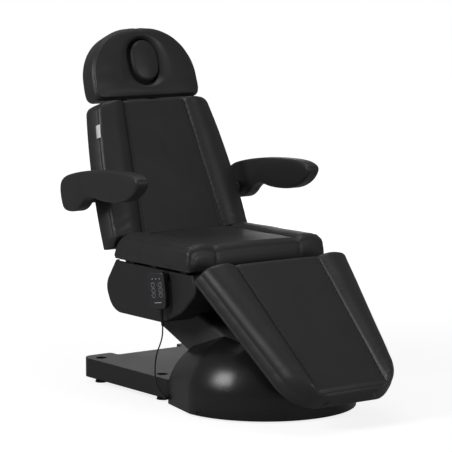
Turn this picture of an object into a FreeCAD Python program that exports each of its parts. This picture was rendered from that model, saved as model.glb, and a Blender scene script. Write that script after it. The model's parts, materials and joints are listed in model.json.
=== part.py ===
import FreeCAD, Part
import math
import os

# Beauty chair: powered treatment chair on a tray and dome base, lifted by a parallelogram arm.
# Millimetres, +Z up from the floor; the sitter faces -Y and the handset hangs on the -X side.

# Whole chair
frame_shift_y = 53.9          # moves the drawing's zero to the middle of the chair's box
overrun = 2.0                  # how far a cutting tool runs past the face that it cuts
running_clearance = 0.08       # radial clearance of a pin in its eye
seat_gap = 0.3                 # gap between a piece and the curved face that carries it
side_gap = 3.0                 # side room between plates that swing past each other
sharp_radius = 1.0             # a corner that is only just broken
corner_room_share = 0.495      # how much of a side one corner's arc may take

# Base tray and rails
tray_half_width = 277.0
tray_front_y = -40.0
tray_rear_y = 509.0
tray_bottom_z = 20.0
tray_top_z = 89.0
tray_sheet = 3.0
tray_corner_radius = 45.0
tray_notch_half_width = 146.0
tray_notch_depth = 48.0
tray_notch_corner = 12.0
rail_slot_depth = 6.0
access_hole_radius = 20.0
rail_inner_x = 100.0
rail_width = 50.0
rail_bottom_z = 30.0
rail_front_y = -470.0
cross_rail_width = 24.0
cross_rail_drop = 24.0
dome_rail_gap = 3.0
foot_x = 232.0
foot_front_x = 125.0
foot_rear_y = 444.0
foot_middle_y = 54.0
foot_front_y = -430.0
foot_radius = 22.0
foot_height = 16.0
foot_taper = 4.0
stud_radius = 6.0
stud_head_radius = 11.0
stud_head_height = 8.0
stud_head_sides = 6
gland_radius = 11.0
gland_flange_radius = 15.0
gland_flange = 4.0
gland_length = 8.0
gland_x = 60.0
gland_z = 54.0

# Dome cover
dome_centre_y = -230.0
dome_radius = 320.0
dome_bottom_z = 6.0
dome_height = 270.0
dome_wall = 4.0
dome_rear_y = -46.0
dome_rear_width_share = 0.872
dome_rear_height_share = 0.796
dome_skirt_share = 0.34
dome_shoulder_share = (0.953, 0.49)
dome_haunch_share = (0.846, 0.68)
dome_crown_share = (0.62, 0.89)
dome_slot_half_width = 174.0
dome_slot_front_y = -348.0
dome_slot_corner = 40.0
dome_notch_radius = 7.0
dome_notch_angle = 187.0
control_box_x = 180.0
control_box_width = 70.0
control_box_length = 110.0
control_box_height = 46.0
control_box_ribs = 8

# Lift parallelogram
pivot_y = -280.0
upper_pivot_z = 183.0
link_spacing = 70.0
link_length = 479.3
link_angle = 21.8
pin_radius = 10.0
eye_radius = 20.0
bracket_inner_x = 90.0
bracket_foot_half = 36.0
plate_thickness = 10.0
arm_bar_x = 113.0
arm_bar_thickness = 12.0
arm_bar_height = 30.0
lower_bar_x = 75.0
arm_cross_share = 0.52
arm_cross_radius = 14.0
lower_cross_radius = 9.8
lower_cross_shares = (0.2, 0.82)
cover_half_width = 162.0
cover_depth = 150.0
cover_sheet = 3.0
cover_start = 40.0
cover_end_gap = 49.0
cover_edge_radius = 14.0
cover_lip_shares = (0.3, 0.7)

# Actuators
act_pin_radius = 6.0
act_eye_radius = 13.0
act_eye_half_width = 10.0
act_cheek = 6.0
act_motor_start = 20.8
act_motor_length = 62.0
act_motor_half = 27.0
act_tube_radius = 17.0
act_rod_radius = 9.0
act_eye_wall = 6.0
act_rod_overlap = 44.0
lift_clevis_y = -120.0
lift_clevis_z = 104.0
lift_rod_share = 0.674
lift_rod_drop = 53.0
lift_eye_play = 9.5
lift_tube_share = 0.62
back_clevis_y = -70.0
back_clevis_z = 410.0
back_act_x = 42.0
back_eye_play = 12.5
back_tube_share = 0.55
leg_clevis_y = 120.0
leg_clevis_z = 418.0
leg_act_x = -42.0
leg_eye_play = 6.0
leg_tube_share = 0.66

# Seat carrier
seat_half_width = 300.0
seat_front_y = -197.0
seat_rear_y = 258.0
seat_board_rear_y = 228.0
board_z = 482.0
board_thickness = 15.0
seat_cushion_height = 70.0
seat_crown = 10.0
seat_seam_front_x = 182.0
seat_seam_rear_x = 182.0
seat_rear_places = (0.0, 12.0, 24.0, 36.0, 54.0)
seat_rear_height_shares = (0.2, 0.3, 0.42, 0.84, 1.0)
frame_tube = 30.0
frame_rear_y = 258.0
carriage_heel_reach = 33.0
carriage_front_reach = 103.0
carriage_rear_reach = 80.0
cross_tube_front_y = 30.0
cross_tube_rear_y = 165.0
cross_tube_nose_y = -150.0
housing_half_width = 280.0
housing_wall = 4.0
housing_rail_room = 65.0
housing_top_z = 474.0
housing_bottom_z = 285.0
housing_front_y = -220.0
housing_rear_y = 345.0
housing_corner = 60.0
housing_belly_radius = 120.0
housing_heel_radius = 96.0
housing_rim_radius = 8.0
housing_lip_share = 0.055
housing_nose_drop_share = 0.3
housing_chin_shares = (0.16, 0.26)
housing_belly_share = 0.36
housing_heel_share = 0.08
housing_tail_share = 0.12
housing_tail_rise_share = 0.5
housing_mouth_front_y = -176.0
housing_mouth_rear_y = 252.0
housing_opening_half = 174.0
housing_opening_front_y = -100.0
housing_opening_rear_y = 258.0
housing_opening_rise = 84.0
housing_nose_notch_half = 190.0
housing_nose_notch_z = 440.0
housing_lever_slot_half = 28.0
housing_lever_slot_z = 384.0
housing_rear_notch_z = 408.0
housing_rear_notch_room = 18.0

# Back hinge and backrest
back_hinge_y = 285.0
back_hinge_z = 495.0
back_origin_y = 300.0
back_origin_z = 490.0
back_recline = 22.0
back_length = 548.0
back_bottom_half = 309.0
back_top_draw = 64.0
back_corner = 32.0
back_middle_shares = (0.25, 0.5, 0.75)
back_board_start = 25.0
back_cushion_start = 16.0
back_cushion_height = 58.0
back_crown = 11.0
back_seam_bottom_x = 184.0
back_seam_top_x = 133.0
back_tube_set = 28.0
back_tube_width = 25.0
back_tube_depth = 20.0
back_tube_start = 40.0
back_tube_end = 500.0
back_cross_gap = 24.0
back_lug_room = 7.0
back_lug_radius_share = 0.6
hinge_lug = 8.0
hinge_lug_radius = 14.0
seat_lug_set = 17.0
back_hinge_pin_tail = 6.0
lever_radius = 60.0
back_lever_angle = -55.0
lever_tip_radius = 12.0

# Leg rest
leg_hinge_y = -205.0
leg_hinge_z = 470.0
leg_drop = 42.2
leg_origin_y = -249.6
leg_origin_z = 463.4
leg_length = 582.0
leg_root_half = 322.0
leg_foot_half = 226.0
leg_cushion_height = 60.0
leg_crown = 11.0
leg_seam_root_x = 180.0
leg_seam_foot_x = 144.0
leg_foot_corner = 112.0
leg_seam_margin = 33.0
leg_foot_place_shares = (0.03, 0.14, 0.4, 0.75, 1.0)
leg_foot_height_shares = (0.55, 0.84, 1.0, 1.0, 1.0)
leg_root_place_shares = (0.0, 0.22, 0.75)
leg_root_height_shares = (0.92, 0.98, 1.0)
leg_tube_x = 120.0
leg_tube_width = 25.0
leg_tube_depth = 20.0
leg_tube_start = 20.0
leg_tube_end = 480.0
leg_lug_x = 148.0
leg_pin_end_x = 176.0
leg_lever_angle = -40.0

# Headrest and face plug
head_tilt = 17.6
head_front_y = 452.0
head_front_z = 1030.0
head_thickness = 88.0
head_half_width = 230.0
head_arc_radius = 190.0
head_arc_centre = 74.0
head_corner = 26.0
head_board_inset = 9.0
head_layer_insets = (3.0, 0.0, 0.0, 7.2, 23.4)
head_layer_shares = (0.0, 0.35, 0.7, 0.9, 1.0)
hole_centre = 136.0
hole_half_width = 67.0
hole_half_height = 87.0
plug_gap = 0.35
plug_depth = 52.0
plug_crown = 8.0
plug_top_inset = 20.0
head_hinge_s = 540.0
head_hinge_n = -14.0
head_plate_x = 74.0
head_arm_x = 62.0
head_pin_radius = 6.0
head_lug_radius = 13.0
head_arm_reach = 42.0

# Upholstery section and rolled ends, as shares of a panel's height, crown or draw
side_height_share = 0.84
side_swell_share = 0.55
side_draw_share = 0.5
valley_share = 0.25
middle_crown_share = 0.35
end_height_shares = (0.55, 0.9, 1.0)
end_place_shares = (0.0, 0.22, 0.75)
end_shrink_share = 0.25

# Armrests
axle_s = 209.7
axle_radius = 12.0
arm_inner_x = 345.0
arm_width = 55.0
arm_round = 15.0
arm_length = 497.0
arm_rear_y = 459.0
arm_low_z = 641.0
arm_rise = 170.0
arm_outline_shares = (
    (1.0, 0.506), (0.957, 0.729), (0.80, 0.853), (0.573, 0.959), (0.326, 1.0), (0.12, 1.0), (0.01, 0.918),
    (0.0, 0.771), (0.068, 0.535), (0.212, 0.359), (0.449, 0.329), (0.594, 0.406), (0.676, 0.312),
    (0.734, 0.124), (0.80, 0.024), (0.913, 0.0), (0.965, 0.088))
hub_radius = 26.0
hub_small_radius = 22.0
hub_length = 16.0

# Handset and cord
handset_stand_off = 29.0
handset_y = -36.0
handset_z = 404.0
handset_width = 70.0
handset_length = 128.0
handset_thickness = 24.0
handset_corner = 16.0
handset_front_share = 0.55
handset_foot_share = 0.8
handset_waist_share = 0.25
handset_turn = 20.0
handset_lean = 7.0
button_radius = 6.0
button_height = 3.0
button_sink = 1.6
button_gap = 0.4
button_pitch_y = 30.0
button_pitch_z = 18.0
button_centre_z = -14.0
relief_length = 58.0
relief_top_radius = 8.0
relief_end_radius = 4.2
relief_ribs = 7
relief_groove_share = 0.85
relief_groove_width_share = 0.33
hook_sheet = 3.0
hook_width = 30.0
hook_low_z = 438.0
hook_tongue_z = 450.0
hook_plate_top_z = 470.0
hook_gap = 3.6
clip_drop = 6.0
clip_sheet = 2.4
cord_diameter = 5.0
cord_split_z = 125.0
cord_bend_share = 0.45
boot_neck_radius = 4.0
boot_radius = 7.0
boot_length = 25.0
cord_route = [
    (-304.0, -50.2, 282.4), (-301.5, -47.0, 254.0), (-297.0, -30.0, 222.0),
    (-293.0, -5.0, 190.0), (-290.5, 11.0, 160.0), (-289.0, 18.5, 127.0),
    (-289.0, 18.5, 95.0), (-288.0, 11.0, 67.0), (-287.0, -3.0, 46.0), (-286.0, -18.0, 36.0)]

# Derived places
link_c = math.cos(math.radians(link_angle))
link_s = math.sin(math.radians(link_angle))
lower_pivot_z = upper_pivot_z - link_spacing
carrier_pivot_y = pivot_y + link_length * link_c
carrier_upper_z = upper_pivot_z + link_length * link_s
carrier_lower_z = carrier_upper_z - link_spacing
lift_rod_y = pivot_y + link_length * lift_rod_share * link_c
lift_rod_z = upper_pivot_z + link_length * lift_rod_share * link_s - lift_rod_drop
carriage_low_y = carrier_pivot_y - carriage_heel_reach
carriage_top_front_y = carrier_pivot_y - carriage_front_reach
carriage_top_rear_y = carrier_pivot_y + carriage_rear_reach
frame_rail_x = housing_half_width - housing_rail_room
seat_lug_x = frame_rail_x + seat_lug_set
back_lug_x = frame_rail_x - back_lug_room
back_tube_x = back_lug_x - back_tube_set
back_hinge_pin_end_x = seat_lug_x + hinge_lug + back_hinge_pin_tail
housing_rear_notch_half = housing_half_width - housing_rear_notch_room
handset_x = -housing_half_width - handset_stand_off
rail_top_z = tray_top_z - tray_sheet
notch_y = tray_rear_y - tray_notch_depth
frame_z = board_z - frame_tube
full_turn = 360.0
half_turn = 180.0
right_angle = 90.0
diagonal = math.sqrt(0.5)
back_angle = right_angle - back_recline
head_angle = right_angle - head_tilt
X_AXIS = FreeCAD.Vector(1, 0, 0)
Y_AXIS = FreeCAD.Vector(0, 1, 0)
Z_AXIS = FreeCAD.Vector(0, 0, 1)
ORIGIN = FreeCAD.Vector(0, 0, 0)


def vec(x, y, z):
    """A point of the drawing."""
    return FreeCAD.Vector(x, y, z)


def box(x0, x1, y0, y1, z0, z1):
    """A block between two corners."""
    return Part.makeBox(x1 - x0, y1 - y0, z1 - z0, vec(x0, y0, z0))


def bar_x(y, z, radius, x0, x1):
    """A round bar along X."""
    return Part.makeCylinder(radius, x1 - x0, vec(x0, y, z), X_AXIS)


def both_sides(shape):
    """A solid and its mirror image on the other side of the chair."""
    return Part.makeCompound([shape, shape.mirror(ORIGIN, X_AXIS)])


def welded(shapes):
    """Solids joined into one welded piece."""
    return shapes[0].fuse(shapes[1:]).removeSplitter()


def rounded_wire(points, radius):
    """A closed outline with a tangent arc at every corner; radius is one value or one per corner."""
    count = len(points)
    radii = radius if isinstance(radius, (list, tuple)) else [radius] * count
    edges = []
    starts = []
    ends = []
    mids = []
    for i in range(count):
        corner = points[i]
        back = points[i - 1] - corner
        ahead = points[(i + 1) % count] - corner
        room = min(back.Length, ahead.Length) * corner_room_share
        u = back.normalize()
        v = ahead.normalize()
        half = math.acos(max(-1.0, min(1.0, u.dot(v)))) / 2
        size = min(radii[i], room * math.tan(half))
        reach = size / math.tan(half)
        middle = (u + v).normalize()
        starts.append(corner + u * reach)
        ends.append(corner + v * reach)
        mids.append(corner + middle * (size / math.sin(half) - size))
    for i in range(count):
        if (starts[i] - ends[i]).Length > seat_gap:
            edges.append(Part.Arc(starts[i], mids[i], ends[i]).toShape())
        after = (i + 1) % count
        if (starts[after] - ends[i]).Length > running_clearance:
            edges.append(Part.LineSegment(ends[i], starts[after]).toShape())
    return Part.Wire(edges)


def prism_x(outline, x0, x1, radius=0):
    """An outline of (y, z) points pulled along X."""
    points = [vec(x0, y, z) for y, z in outline]
    wire = rounded_wire(points, radius) if radius else Part.makePolygon(points + points[:1])
    return Part.Face(wire).extrude(vec(x1 - x0, 0, 0))


def prism_z(outline, z0, z1, radius=0):
    """An outline of (x, y) points pulled along Z."""
    points = [vec(x, y, z0) for x, y in outline]
    wire = rounded_wire(points, radius) if radius else Part.makePolygon(points + points[:1])
    return Part.Face(wire).extrude(vec(0, 0, z1 - z0))


def stadium_x(y0, z0, y1, z1, radius, x0, x1):
    """A flat bar between two eyes, in a plane across X."""
    dy = y1 - y0
    dz = z1 - z0
    span = math.hypot(dy, dz)
    ny = -dz / span * radius
    nz = dy / span * radius
    outline = [(y0 + ny, z0 + nz), (y0 - ny, z0 - nz), (y1 - ny, z1 - nz), (y1 + ny, z1 + nz)]
    strip = prism_x(outline, x0, x1)
    ends = [bar_x(y0, z0, radius, x0, x1), bar_x(y1, z1, radius, x0, x1)]
    return welded([strip] + ends)


def lay(shape, angle, y, z):
    """Turns a panel drawn flat (length along Y, upholstery up) about X and sets its origin at (y, z)."""
    placed = shape.copy()
    placed.rotate(ORIGIN, X_AXIS, angle)
    placed.translate(vec(0, y, z))
    return placed


def panel_point(angle, y, z, along, out):
    """The (y, z) place of a panel point that lies along its length and out of its board."""
    c = math.cos(math.radians(angle))
    s = math.sin(math.radians(angle))
    return y + along * c - out * s, z + along * s + out * c


def polar(y, z, radius, angle):
    """A (y, z) point on a circle about a hinge."""
    turn = math.radians(angle)
    return y + radius * math.cos(turn), z + radius * math.sin(turn)


back_panel = (back_angle, back_origin_y, back_origin_z)
leg_panel = (leg_drop, leg_origin_y, leg_origin_z)
head_root_y = head_front_y + head_thickness * math.cos(math.radians(head_tilt))
head_root_z = head_front_z - head_thickness * math.sin(math.radians(head_tilt))
head_panel = (head_angle, head_root_y, head_root_z)
head_hinge_y, head_hinge_z = panel_point(*back_panel, head_hinge_s, head_hinge_n)
axle_y, axle_z = panel_point(*back_panel, axle_s, -axle_radius - seat_gap)
back_lever_y, back_lever_z = polar(back_hinge_y, back_hinge_z, lever_radius, back_lever_angle)
leg_lever_y, leg_lever_z = polar(leg_hinge_y, leg_hinge_z, lever_radius, leg_lever_angle)


def tray_outline(inset):
    """Plan of the base tray: two rear ears beside a notch, drawn in by inset."""
    half = tray_half_width - inset
    notch = tray_notch_half_width + inset
    front = tray_front_y + inset
    rear = tray_rear_y - inset
    recess = notch_y - inset
    points = [(-half, front), (half, front), (half, rear), (notch, rear)]
    points += [(notch, recess), (-notch, recess), (-notch, rear), (-half, rear)]
    ear = tray_corner_radius - inset
    small = tray_notch_corner
    return points, [small, small, ear, small, small, small, small, ear]


def base_tray():
    """Inverted sheet-steel tray with access holes over the feet."""
    outline, corners = tray_outline(0)
    tray = prism_z(outline, tray_bottom_z, tray_top_z, corners)
    outline, corners = tray_outline(tray_sheet)
    hollow = prism_z(outline, tray_bottom_z - overrun, rail_top_z, corners)
    holes = []
    for x in (-foot_x, foot_x):
        for y in (foot_middle_y, foot_rear_y):
            holes.append(Part.makeCylinder(access_hole_radius, tray_top_z, vec(x, y, tray_bottom_z)))
    gland_place = vec(gland_x, notch_y + overrun, gland_z)
    gland = Part.makeCylinder(gland_radius + seat_gap, tray_notch_depth, gland_place, -Y_AXIS)
    for x in (rail_inner_x, -rail_inner_x - rail_width):
        holes.append(box(x - seat_gap, x + rail_width + seat_gap, tray_front_y - overrun,
                         tray_front_y + rail_slot_depth, tray_bottom_z - overrun, rail_top_z))
    return tray.cut([hollow, gland] + holes)


def base_rails():
    """Welded base frame: two long rails with cross rails out to the feet."""
    rails = []
    for x in (rail_inner_x, -rail_inner_x - rail_width):
        rails.append(box(x, x + rail_width, rail_front_y, foot_rear_y, rail_bottom_z, rail_top_z))
    reach = tray_half_width - tray_sheet - overrun
    half = cross_rail_width / 2
    for y in (foot_middle_y, foot_rear_y):
        rails.append(box(-reach, reach, y - half, y + half, rail_bottom_z, rail_top_z - cross_rail_drop))
    wide = dome_radius - dome_wall - dome_rail_gap
    rails.append(box(-wide, wide, dome_centre_y - half, dome_centre_y + half, rail_bottom_z, rail_top_z))
    nose = rail_inner_x + rail_width
    rails.append(box(-nose, nose, foot_front_y - half, foot_front_y + half, rail_bottom_z, rail_top_z))
    frame = welded(rails)
    holes = []
    for x, y in foot_places():
        holes.append(Part.makeCylinder(stud_radius + running_clearance, tray_top_z, vec(x, y, 0)))
    return frame.cut(holes)


def foot_places():
    """Plan places of the six levelling feet."""
    places = [(foot_x, foot_rear_y), (foot_x, foot_middle_y), (foot_front_x, foot_front_y)]
    return places + [(-x, y) for x, y in places]


def levelling_feet():
    """Rubber feet, slightly tapered."""
    feet = []
    for x, y in foot_places():
        feet.append(Part.makeCone(foot_radius, foot_radius - foot_taper, foot_height, vec(x, y, 0)))
    return Part.makeCompound(feet)


def foot_studs():
    """Threaded studs with a hexagon lock nut on top of the rail that they pass."""
    studs = []
    for x, y in foot_places():
        front = y < tray_front_y
        top = rail_top_z if front else rail_top_z - cross_rail_drop
        shank = Part.makeCylinder(stud_radius, top - foot_height, vec(x, y, foot_height))
        corners = []
        for i in range(stud_head_sides):
            turn = math.radians(full_turn * i / stud_head_sides)
            corners.append((x + stud_head_radius * math.cos(turn), y + stud_head_radius * math.sin(turn)))
        studs.append(shank.fuse(prism_z(corners, top, top + stud_head_height)))
    return Part.makeCompound(studs)


def mains_gland():
    """Cable gland in the rear wall of the tray's notch."""
    flange = Part.makeCylinder(gland_flange_radius, gland_flange, vec(gland_x, notch_y, gland_z), Y_AXIS)
    inner_end = vec(gland_x, notch_y + gland_flange, gland_z)
    barrel = Part.makeCylinder(gland_radius, gland_length, inner_end, -Y_AXIS)
    return flange.fuse(barrel)


def dome_profile(radius, height, bottom):
    """Half section of the dome, as edges from the skirt's foot to the crown, in (distance, z)."""
    skirt = bottom + height * dome_skirt_share
    foot = (radius, bottom)
    knee = (radius, skirt)
    shoulder = (radius * dome_shoulder_share[0], bottom + height * dome_shoulder_share[1])
    haunch = (radius * dome_haunch_share[0], bottom + height * dome_haunch_share[1])
    crown = (radius * dome_crown_share[0], bottom + height * dome_crown_share[1])
    top = (0, bottom + height)
    return foot, knee, shoulder, haunch, crown, top


def dome_arch(radius, height, bottom, y):
    """Whole section of the dome at one place along its length, as a closed wire."""
    foot, knee, shoulder, haunch, crown, top = dome_profile(radius, height, bottom)

    def at(point, side):
        return vec(point[0] * side, y, point[1])
    edges = [Part.LineSegment(at(foot, -1), at(foot, 1)), Part.LineSegment(at(foot, 1), at(knee, 1))]
    edges.append(Part.Arc(at(knee, 1), at(shoulder, 1), at(haunch, 1)))
    edges.append(Part.Arc(at(haunch, 1), at(crown, 1), at(top, 1)))
    edges.append(Part.Arc(at(top, 1), at(crown, -1), at(haunch, -1)))
    edges.append(Part.Arc(at(haunch, -1), at(shoulder, -1), at(knee, -1)))
    edges.append(Part.LineSegment(at(knee, -1), at(foot, -1)))
    return Part.Wire([edge.toShape() for edge in edges])


def dome_body(inset, rear_overrun):
    """Solid dome: a half turn in front and a narrowing arch behind, drawn in by inset."""
    radius = dome_radius - inset
    height = dome_height - inset
    foot, knee, shoulder, haunch, crown, top = dome_profile(radius, height, dome_bottom_z)

    def at(point):
        return vec(point[0], dome_centre_y, point[1])
    edges = [Part.LineSegment(at(foot), at(knee)), Part.Arc(at(knee), at(shoulder), at(haunch))]
    edges += [Part.Arc(at(haunch), at(crown), at(top))]
    middle = at((0, dome_bottom_z))
    edges += [Part.LineSegment(at(top), middle), Part.LineSegment(middle, at(foot))]
    face = Part.Face(Part.Wire([edge.toShape() for edge in edges]))
    front = face.revolve(vec(0, dome_centre_y, 0), -Z_AXIS, half_turn)
    rear_radius = dome_radius * dome_rear_width_share - inset
    rear_height = dome_height * dome_rear_height_share - inset
    sections = [dome_arch(radius, height, dome_bottom_z, dome_centre_y)]
    sections.append(dome_arch(rear_radius, rear_height, dome_bottom_z, dome_rear_y + rear_overrun))
    return front.fuse(Part.makeLoft(sections, True, True))


def dome_cover():
    """Moulded dome shell, open below and behind, with a slot for the lift arm."""
    shell = dome_body(0, 0).cut(dome_body(dome_wall, overrun))
    front = dome_centre_y - dome_radius
    below = box(-dome_radius, dome_radius, front, 0, dome_bottom_z - dome_wall, dome_bottom_z)
    half = dome_slot_half_width
    plan = [(-half, dome_slot_front_y), (half, dome_slot_front_y), (half, 0), (-half, 0)]
    corners = [dome_slot_corner, dome_slot_corner, sharp_radius, sharp_radius]
    slot = prism_z(plan, tray_top_z, dome_bottom_z + dome_height + overrun, corners)
    turn = math.radians(dome_notch_angle)
    notch_x = dome_radius * math.cos(turn)
    notch_back_y = dome_centre_y + dome_radius * math.sin(turn)
    notch_z = dome_bottom_z + dome_notch_radius
    notch = Part.makeSphere(dome_notch_radius, vec(notch_x, notch_back_y, notch_z))
    return shell.cut([below, slot, notch]).Solids[0]


def control_box():
    """Power supply box with a ribbed lid, on the cross rail inside the dome."""
    x1 = control_box_x + control_box_width
    y0 = dome_centre_y - control_box_length / 2
    top = rail_top_z + control_box_height
    case = box(control_box_x, x1, y0, y0 + control_box_length, rail_top_z, top)
    grooves = []
    pitch = control_box_length / control_box_ribs
    for i in range(1, control_box_ribs):
        y = y0 + pitch * i
        groove = box(control_box_x - overrun, x1 + overrun, y, y + dome_wall, top - overrun, top + overrun)
        grooves.append(groove)
    return case.cut(grooves)


def eye_holes(points, radius, reach):
    """Through bores along X at several (y, z) places."""
    return [bar_x(y, z, radius, -reach, reach) for y, z in points]


def pivot_brackets():
    """Two base plates that carry both fixed pivots."""
    top = upper_pivot_z + eye_radius
    outline = [(pivot_y - bracket_foot_half, rail_bottom_z), (pivot_y + bracket_foot_half, rail_bottom_z)]
    outline += [(pivot_y + eye_radius, top), (pivot_y - eye_radius, top)]
    corners = [sharp_radius, sharp_radius, eye_radius, eye_radius]
    plate = prism_x(outline, bracket_inner_x, bracket_inner_x + plate_thickness, corners)
    pivots = [(pivot_y, upper_pivot_z), (pivot_y, lower_pivot_z)]
    return both_sides(plate.cut(eye_holes(pivots, pin_radius + running_clearance, housing_half_width)))


def pins(places, reach):
    """Plain pivot pins along X at several (y, z) places, each with its own half length."""
    made = []
    for (y, z), half in zip(places, reach):
        made.append(bar_x(y, z, pin_radius, -half, half))
    return Part.makeCompound(made)


def lift_pivot_pins():
    """The two fixed pins of the parallelogram, on the base."""
    outer = arm_bar_x + arm_bar_thickness + side_gap
    inner = bracket_inner_x + plate_thickness
    return pins([(pivot_y, upper_pivot_z), (pivot_y, lower_pivot_z)], [outer, inner])


def upper_pivot_pins():
    """The two pins of the parallelogram on the seat carriage."""
    outer = arm_bar_x + arm_bar_thickness + side_gap
    inner = bracket_inner_x + plate_thickness
    return pins([(carrier_pivot_y, carrier_upper_z), (carrier_pivot_y, carrier_lower_z)], [outer, inner])


def link_point(share, z0):
    """A (y, z) place along a link that starts at height z0."""
    return pivot_y + link_length * share * link_c, z0 + link_length * share * link_s


def link_bar(x, z0, play):
    """One flat bar of a link with an eye at each end."""
    y1, z1 = link_point(1, z0)
    half = arm_bar_height / 2
    bar = stadium_x(pivot_y, z0, y1, z1, half, x, x + arm_bar_thickness)
    low = bar_x(pivot_y, z0, pin_radius + running_clearance, x - overrun, x + arm_bar_thickness + overrun)
    high = bar_x(y1, z1, pin_radius + play, x - overrun, x + arm_bar_thickness + overrun)
    return bar.cut([low, high])


def lift_arm_frame():
    """Upper link: two flat bars, a cross tube and the bracket that the lift actuator pushes."""
    bar = link_bar(arm_bar_x, upper_pivot_z, running_clearance)
    cross_y, cross_z = link_point(arm_cross_share, upper_pivot_z)
    cross = bar_x(cross_y, cross_z, arm_cross_radius, -arm_bar_x - overrun, arm_bar_x + overrun)
    pieces = [bar, bar.mirror(ORIGIN, X_AXIS), cross]
    inner = act_eye_half_width + overrun
    for x in (inner, -inner - act_cheek):
        cheek = stadium_x(cross_y, cross_z, lift_rod_y, lift_rod_z, lever_tip_radius, x, x + act_cheek)
        pieces.append(cheek)
    pieces.append(bar_x(lift_rod_y, lift_rod_z, act_pin_radius, -inner - act_cheek, inner + act_cheek))
    return welded(pieces)


def lower_link():
    """Lower link: two flat bars joined by two cross tubes; its upper eyes have running play."""
    bar = link_bar(lower_bar_x, lower_pivot_z, seat_gap)
    pieces = [bar, bar.mirror(ORIGIN, X_AXIS)]
    for share in lower_cross_shares:
        y, z = link_point(share, lower_pivot_z)
        pieces.append(bar_x(y, z, lower_cross_radius, -lower_bar_x - overrun, lower_bar_x + overrun))
    return welded(pieces)


def arm_cover():
    """Folded channel over the lift arm, open below and at both ends."""
    rise = (cover_depth - link_spacing * link_c) / 2
    end = link_length - cover_end_gap
    half = cover_half_width
    outer = box(-half, half, cover_start, end, rise - cover_depth, rise)
    edges = [e for e in outer.Edges if abs(e.BoundBox.ZMin - rise) < seat_gap and e.BoundBox.YLength > half]
    outer = outer.makeFillet(cover_edge_radius, edges)
    inner_half = half - cover_sheet
    low = rise - cover_depth - overrun
    inner = box(-inner_half, inner_half, cover_start - overrun, end + overrun, low, rise - cover_sheet)
    inner_edges = [e for e in inner.Edges if e.BoundBox.ZMin > 0 and e.BoundBox.YLength > half]
    inner = inner.makeFillet(cover_edge_radius - cover_sheet, inner_edges)
    channel = outer.cut(inner)
    lip_x = arm_bar_x + arm_bar_thickness
    lips = []
    for share in cover_lip_shares:
        y = link_length * share
        lip = box(lip_x, half - cover_sheet / 2, y, y + cross_rail_width, -cover_sheet, cover_sheet)
        lips += [lip, lip.mirror(ORIGIN, X_AXIS)]
    return lay(welded([channel] + lips), link_angle, pivot_y, upper_pivot_z)


def actuator(y0, z0, y1, z1, x, tube_share, play):
    """Linear actuator from its body's eye to its rod's eye: motor housing and tube, and the rod."""
    span = math.hypot(y1 - y0, z1 - z0)
    hub = act_eye_half_width
    eye = bar_x(0, 0, act_eye_radius, -hub, hub)
    neck = box(-hub, hub, 0, act_motor_length / 2, -act_eye_radius / 2, act_eye_radius / 2)
    start = act_motor_start
    motor = box(-act_motor_half, act_motor_half, start, act_motor_length, -act_motor_half, act_motor_half)
    motor = motor.makeFillet(act_eye_radius / 2, [e for e in motor.Edges if e.BoundBox.YLength > start])
    tube_end = span * tube_share
    tube = Part.makeCylinder(act_tube_radius, tube_end - start, vec(0, start, 0), Y_AXIS)
    bore_start = vec(0, act_motor_length - act_eye_radius, 0)
    bore = Part.makeCylinder(act_rod_radius + seat_gap, tube_end, bore_start, Y_AXIS)
    hole = bar_x(0, 0, act_pin_radius + running_clearance, -hub - overrun, hub + overrun)
    body = welded([eye, neck, motor, tube]).cut([bore, hole])
    ring_radius = act_pin_radius + play + act_eye_wall
    rod_start = tube_end - act_rod_overlap
    rod_length = span - act_pin_radius - play - rod_start - overrun
    rod = Part.makeCylinder(act_rod_radius, rod_length, vec(0, rod_start, 0), Y_AXIS)
    ring = bar_x(span, 0, ring_radius, -hub, hub)
    slot = bar_x(span, 0, act_pin_radius + play, -hub - overrun, hub + overrun)
    rod = welded([rod, ring]).cut(slot)
    turn = math.degrees(math.atan2(z1 - z0, y1 - y0))
    made = []
    for shape in (body, rod):
        placed = lay(shape, turn, y0, z0)
        placed.translate(vec(x, 0, 0))
        made.append(placed)
    return made


def clevis(y, z, x, seat_z):
    """Two cheeks and a pin that hold an actuator's body, standing on or hanging from seat_z."""
    inner = act_eye_half_width + overrun
    width = act_eye_radius
    low = min(z - width, seat_z)
    high = max(z + width, seat_z)
    pieces = [bar_x(y, z, act_pin_radius, x - inner - act_cheek, x + inner + act_cheek)]
    for x0 in (x + inner, x - inner - act_cheek):
        pieces.append(box(x0, x0 + act_cheek, y - width, y + width, low, high))
    return pieces


def lift_clevis():
    """Clevis of the lift actuator on a cross plate between the base rails."""
    plate_z = rail_bottom_z
    half = act_motor_half
    pieces = clevis(lift_clevis_y, lift_clevis_z, 0, plate_z)
    reach = rail_inner_x
    front = lift_clevis_y - half
    rear = lift_clevis_y + half
    pieces.append(box(-reach, reach, front, rear, plate_z, plate_z + plate_thickness))
    return welded(pieces)


def seat_clevises():
    """Clevises of the back and leg actuators, hanging from cross bars between the seat frame's rails."""
    made = []
    reach = frame_rail_x
    half = act_eye_radius
    for y, z, x in ((back_clevis_y, back_clevis_z, back_act_x), (leg_clevis_y, leg_clevis_z, leg_act_x)):
        pieces = clevis(y, z, x, frame_z)
        pieces.append(box(-reach, reach, y - half, y + half, frame_z, frame_z + plate_thickness))
        made.append(welded(pieces))
    return Part.makeCompound(made)


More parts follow.
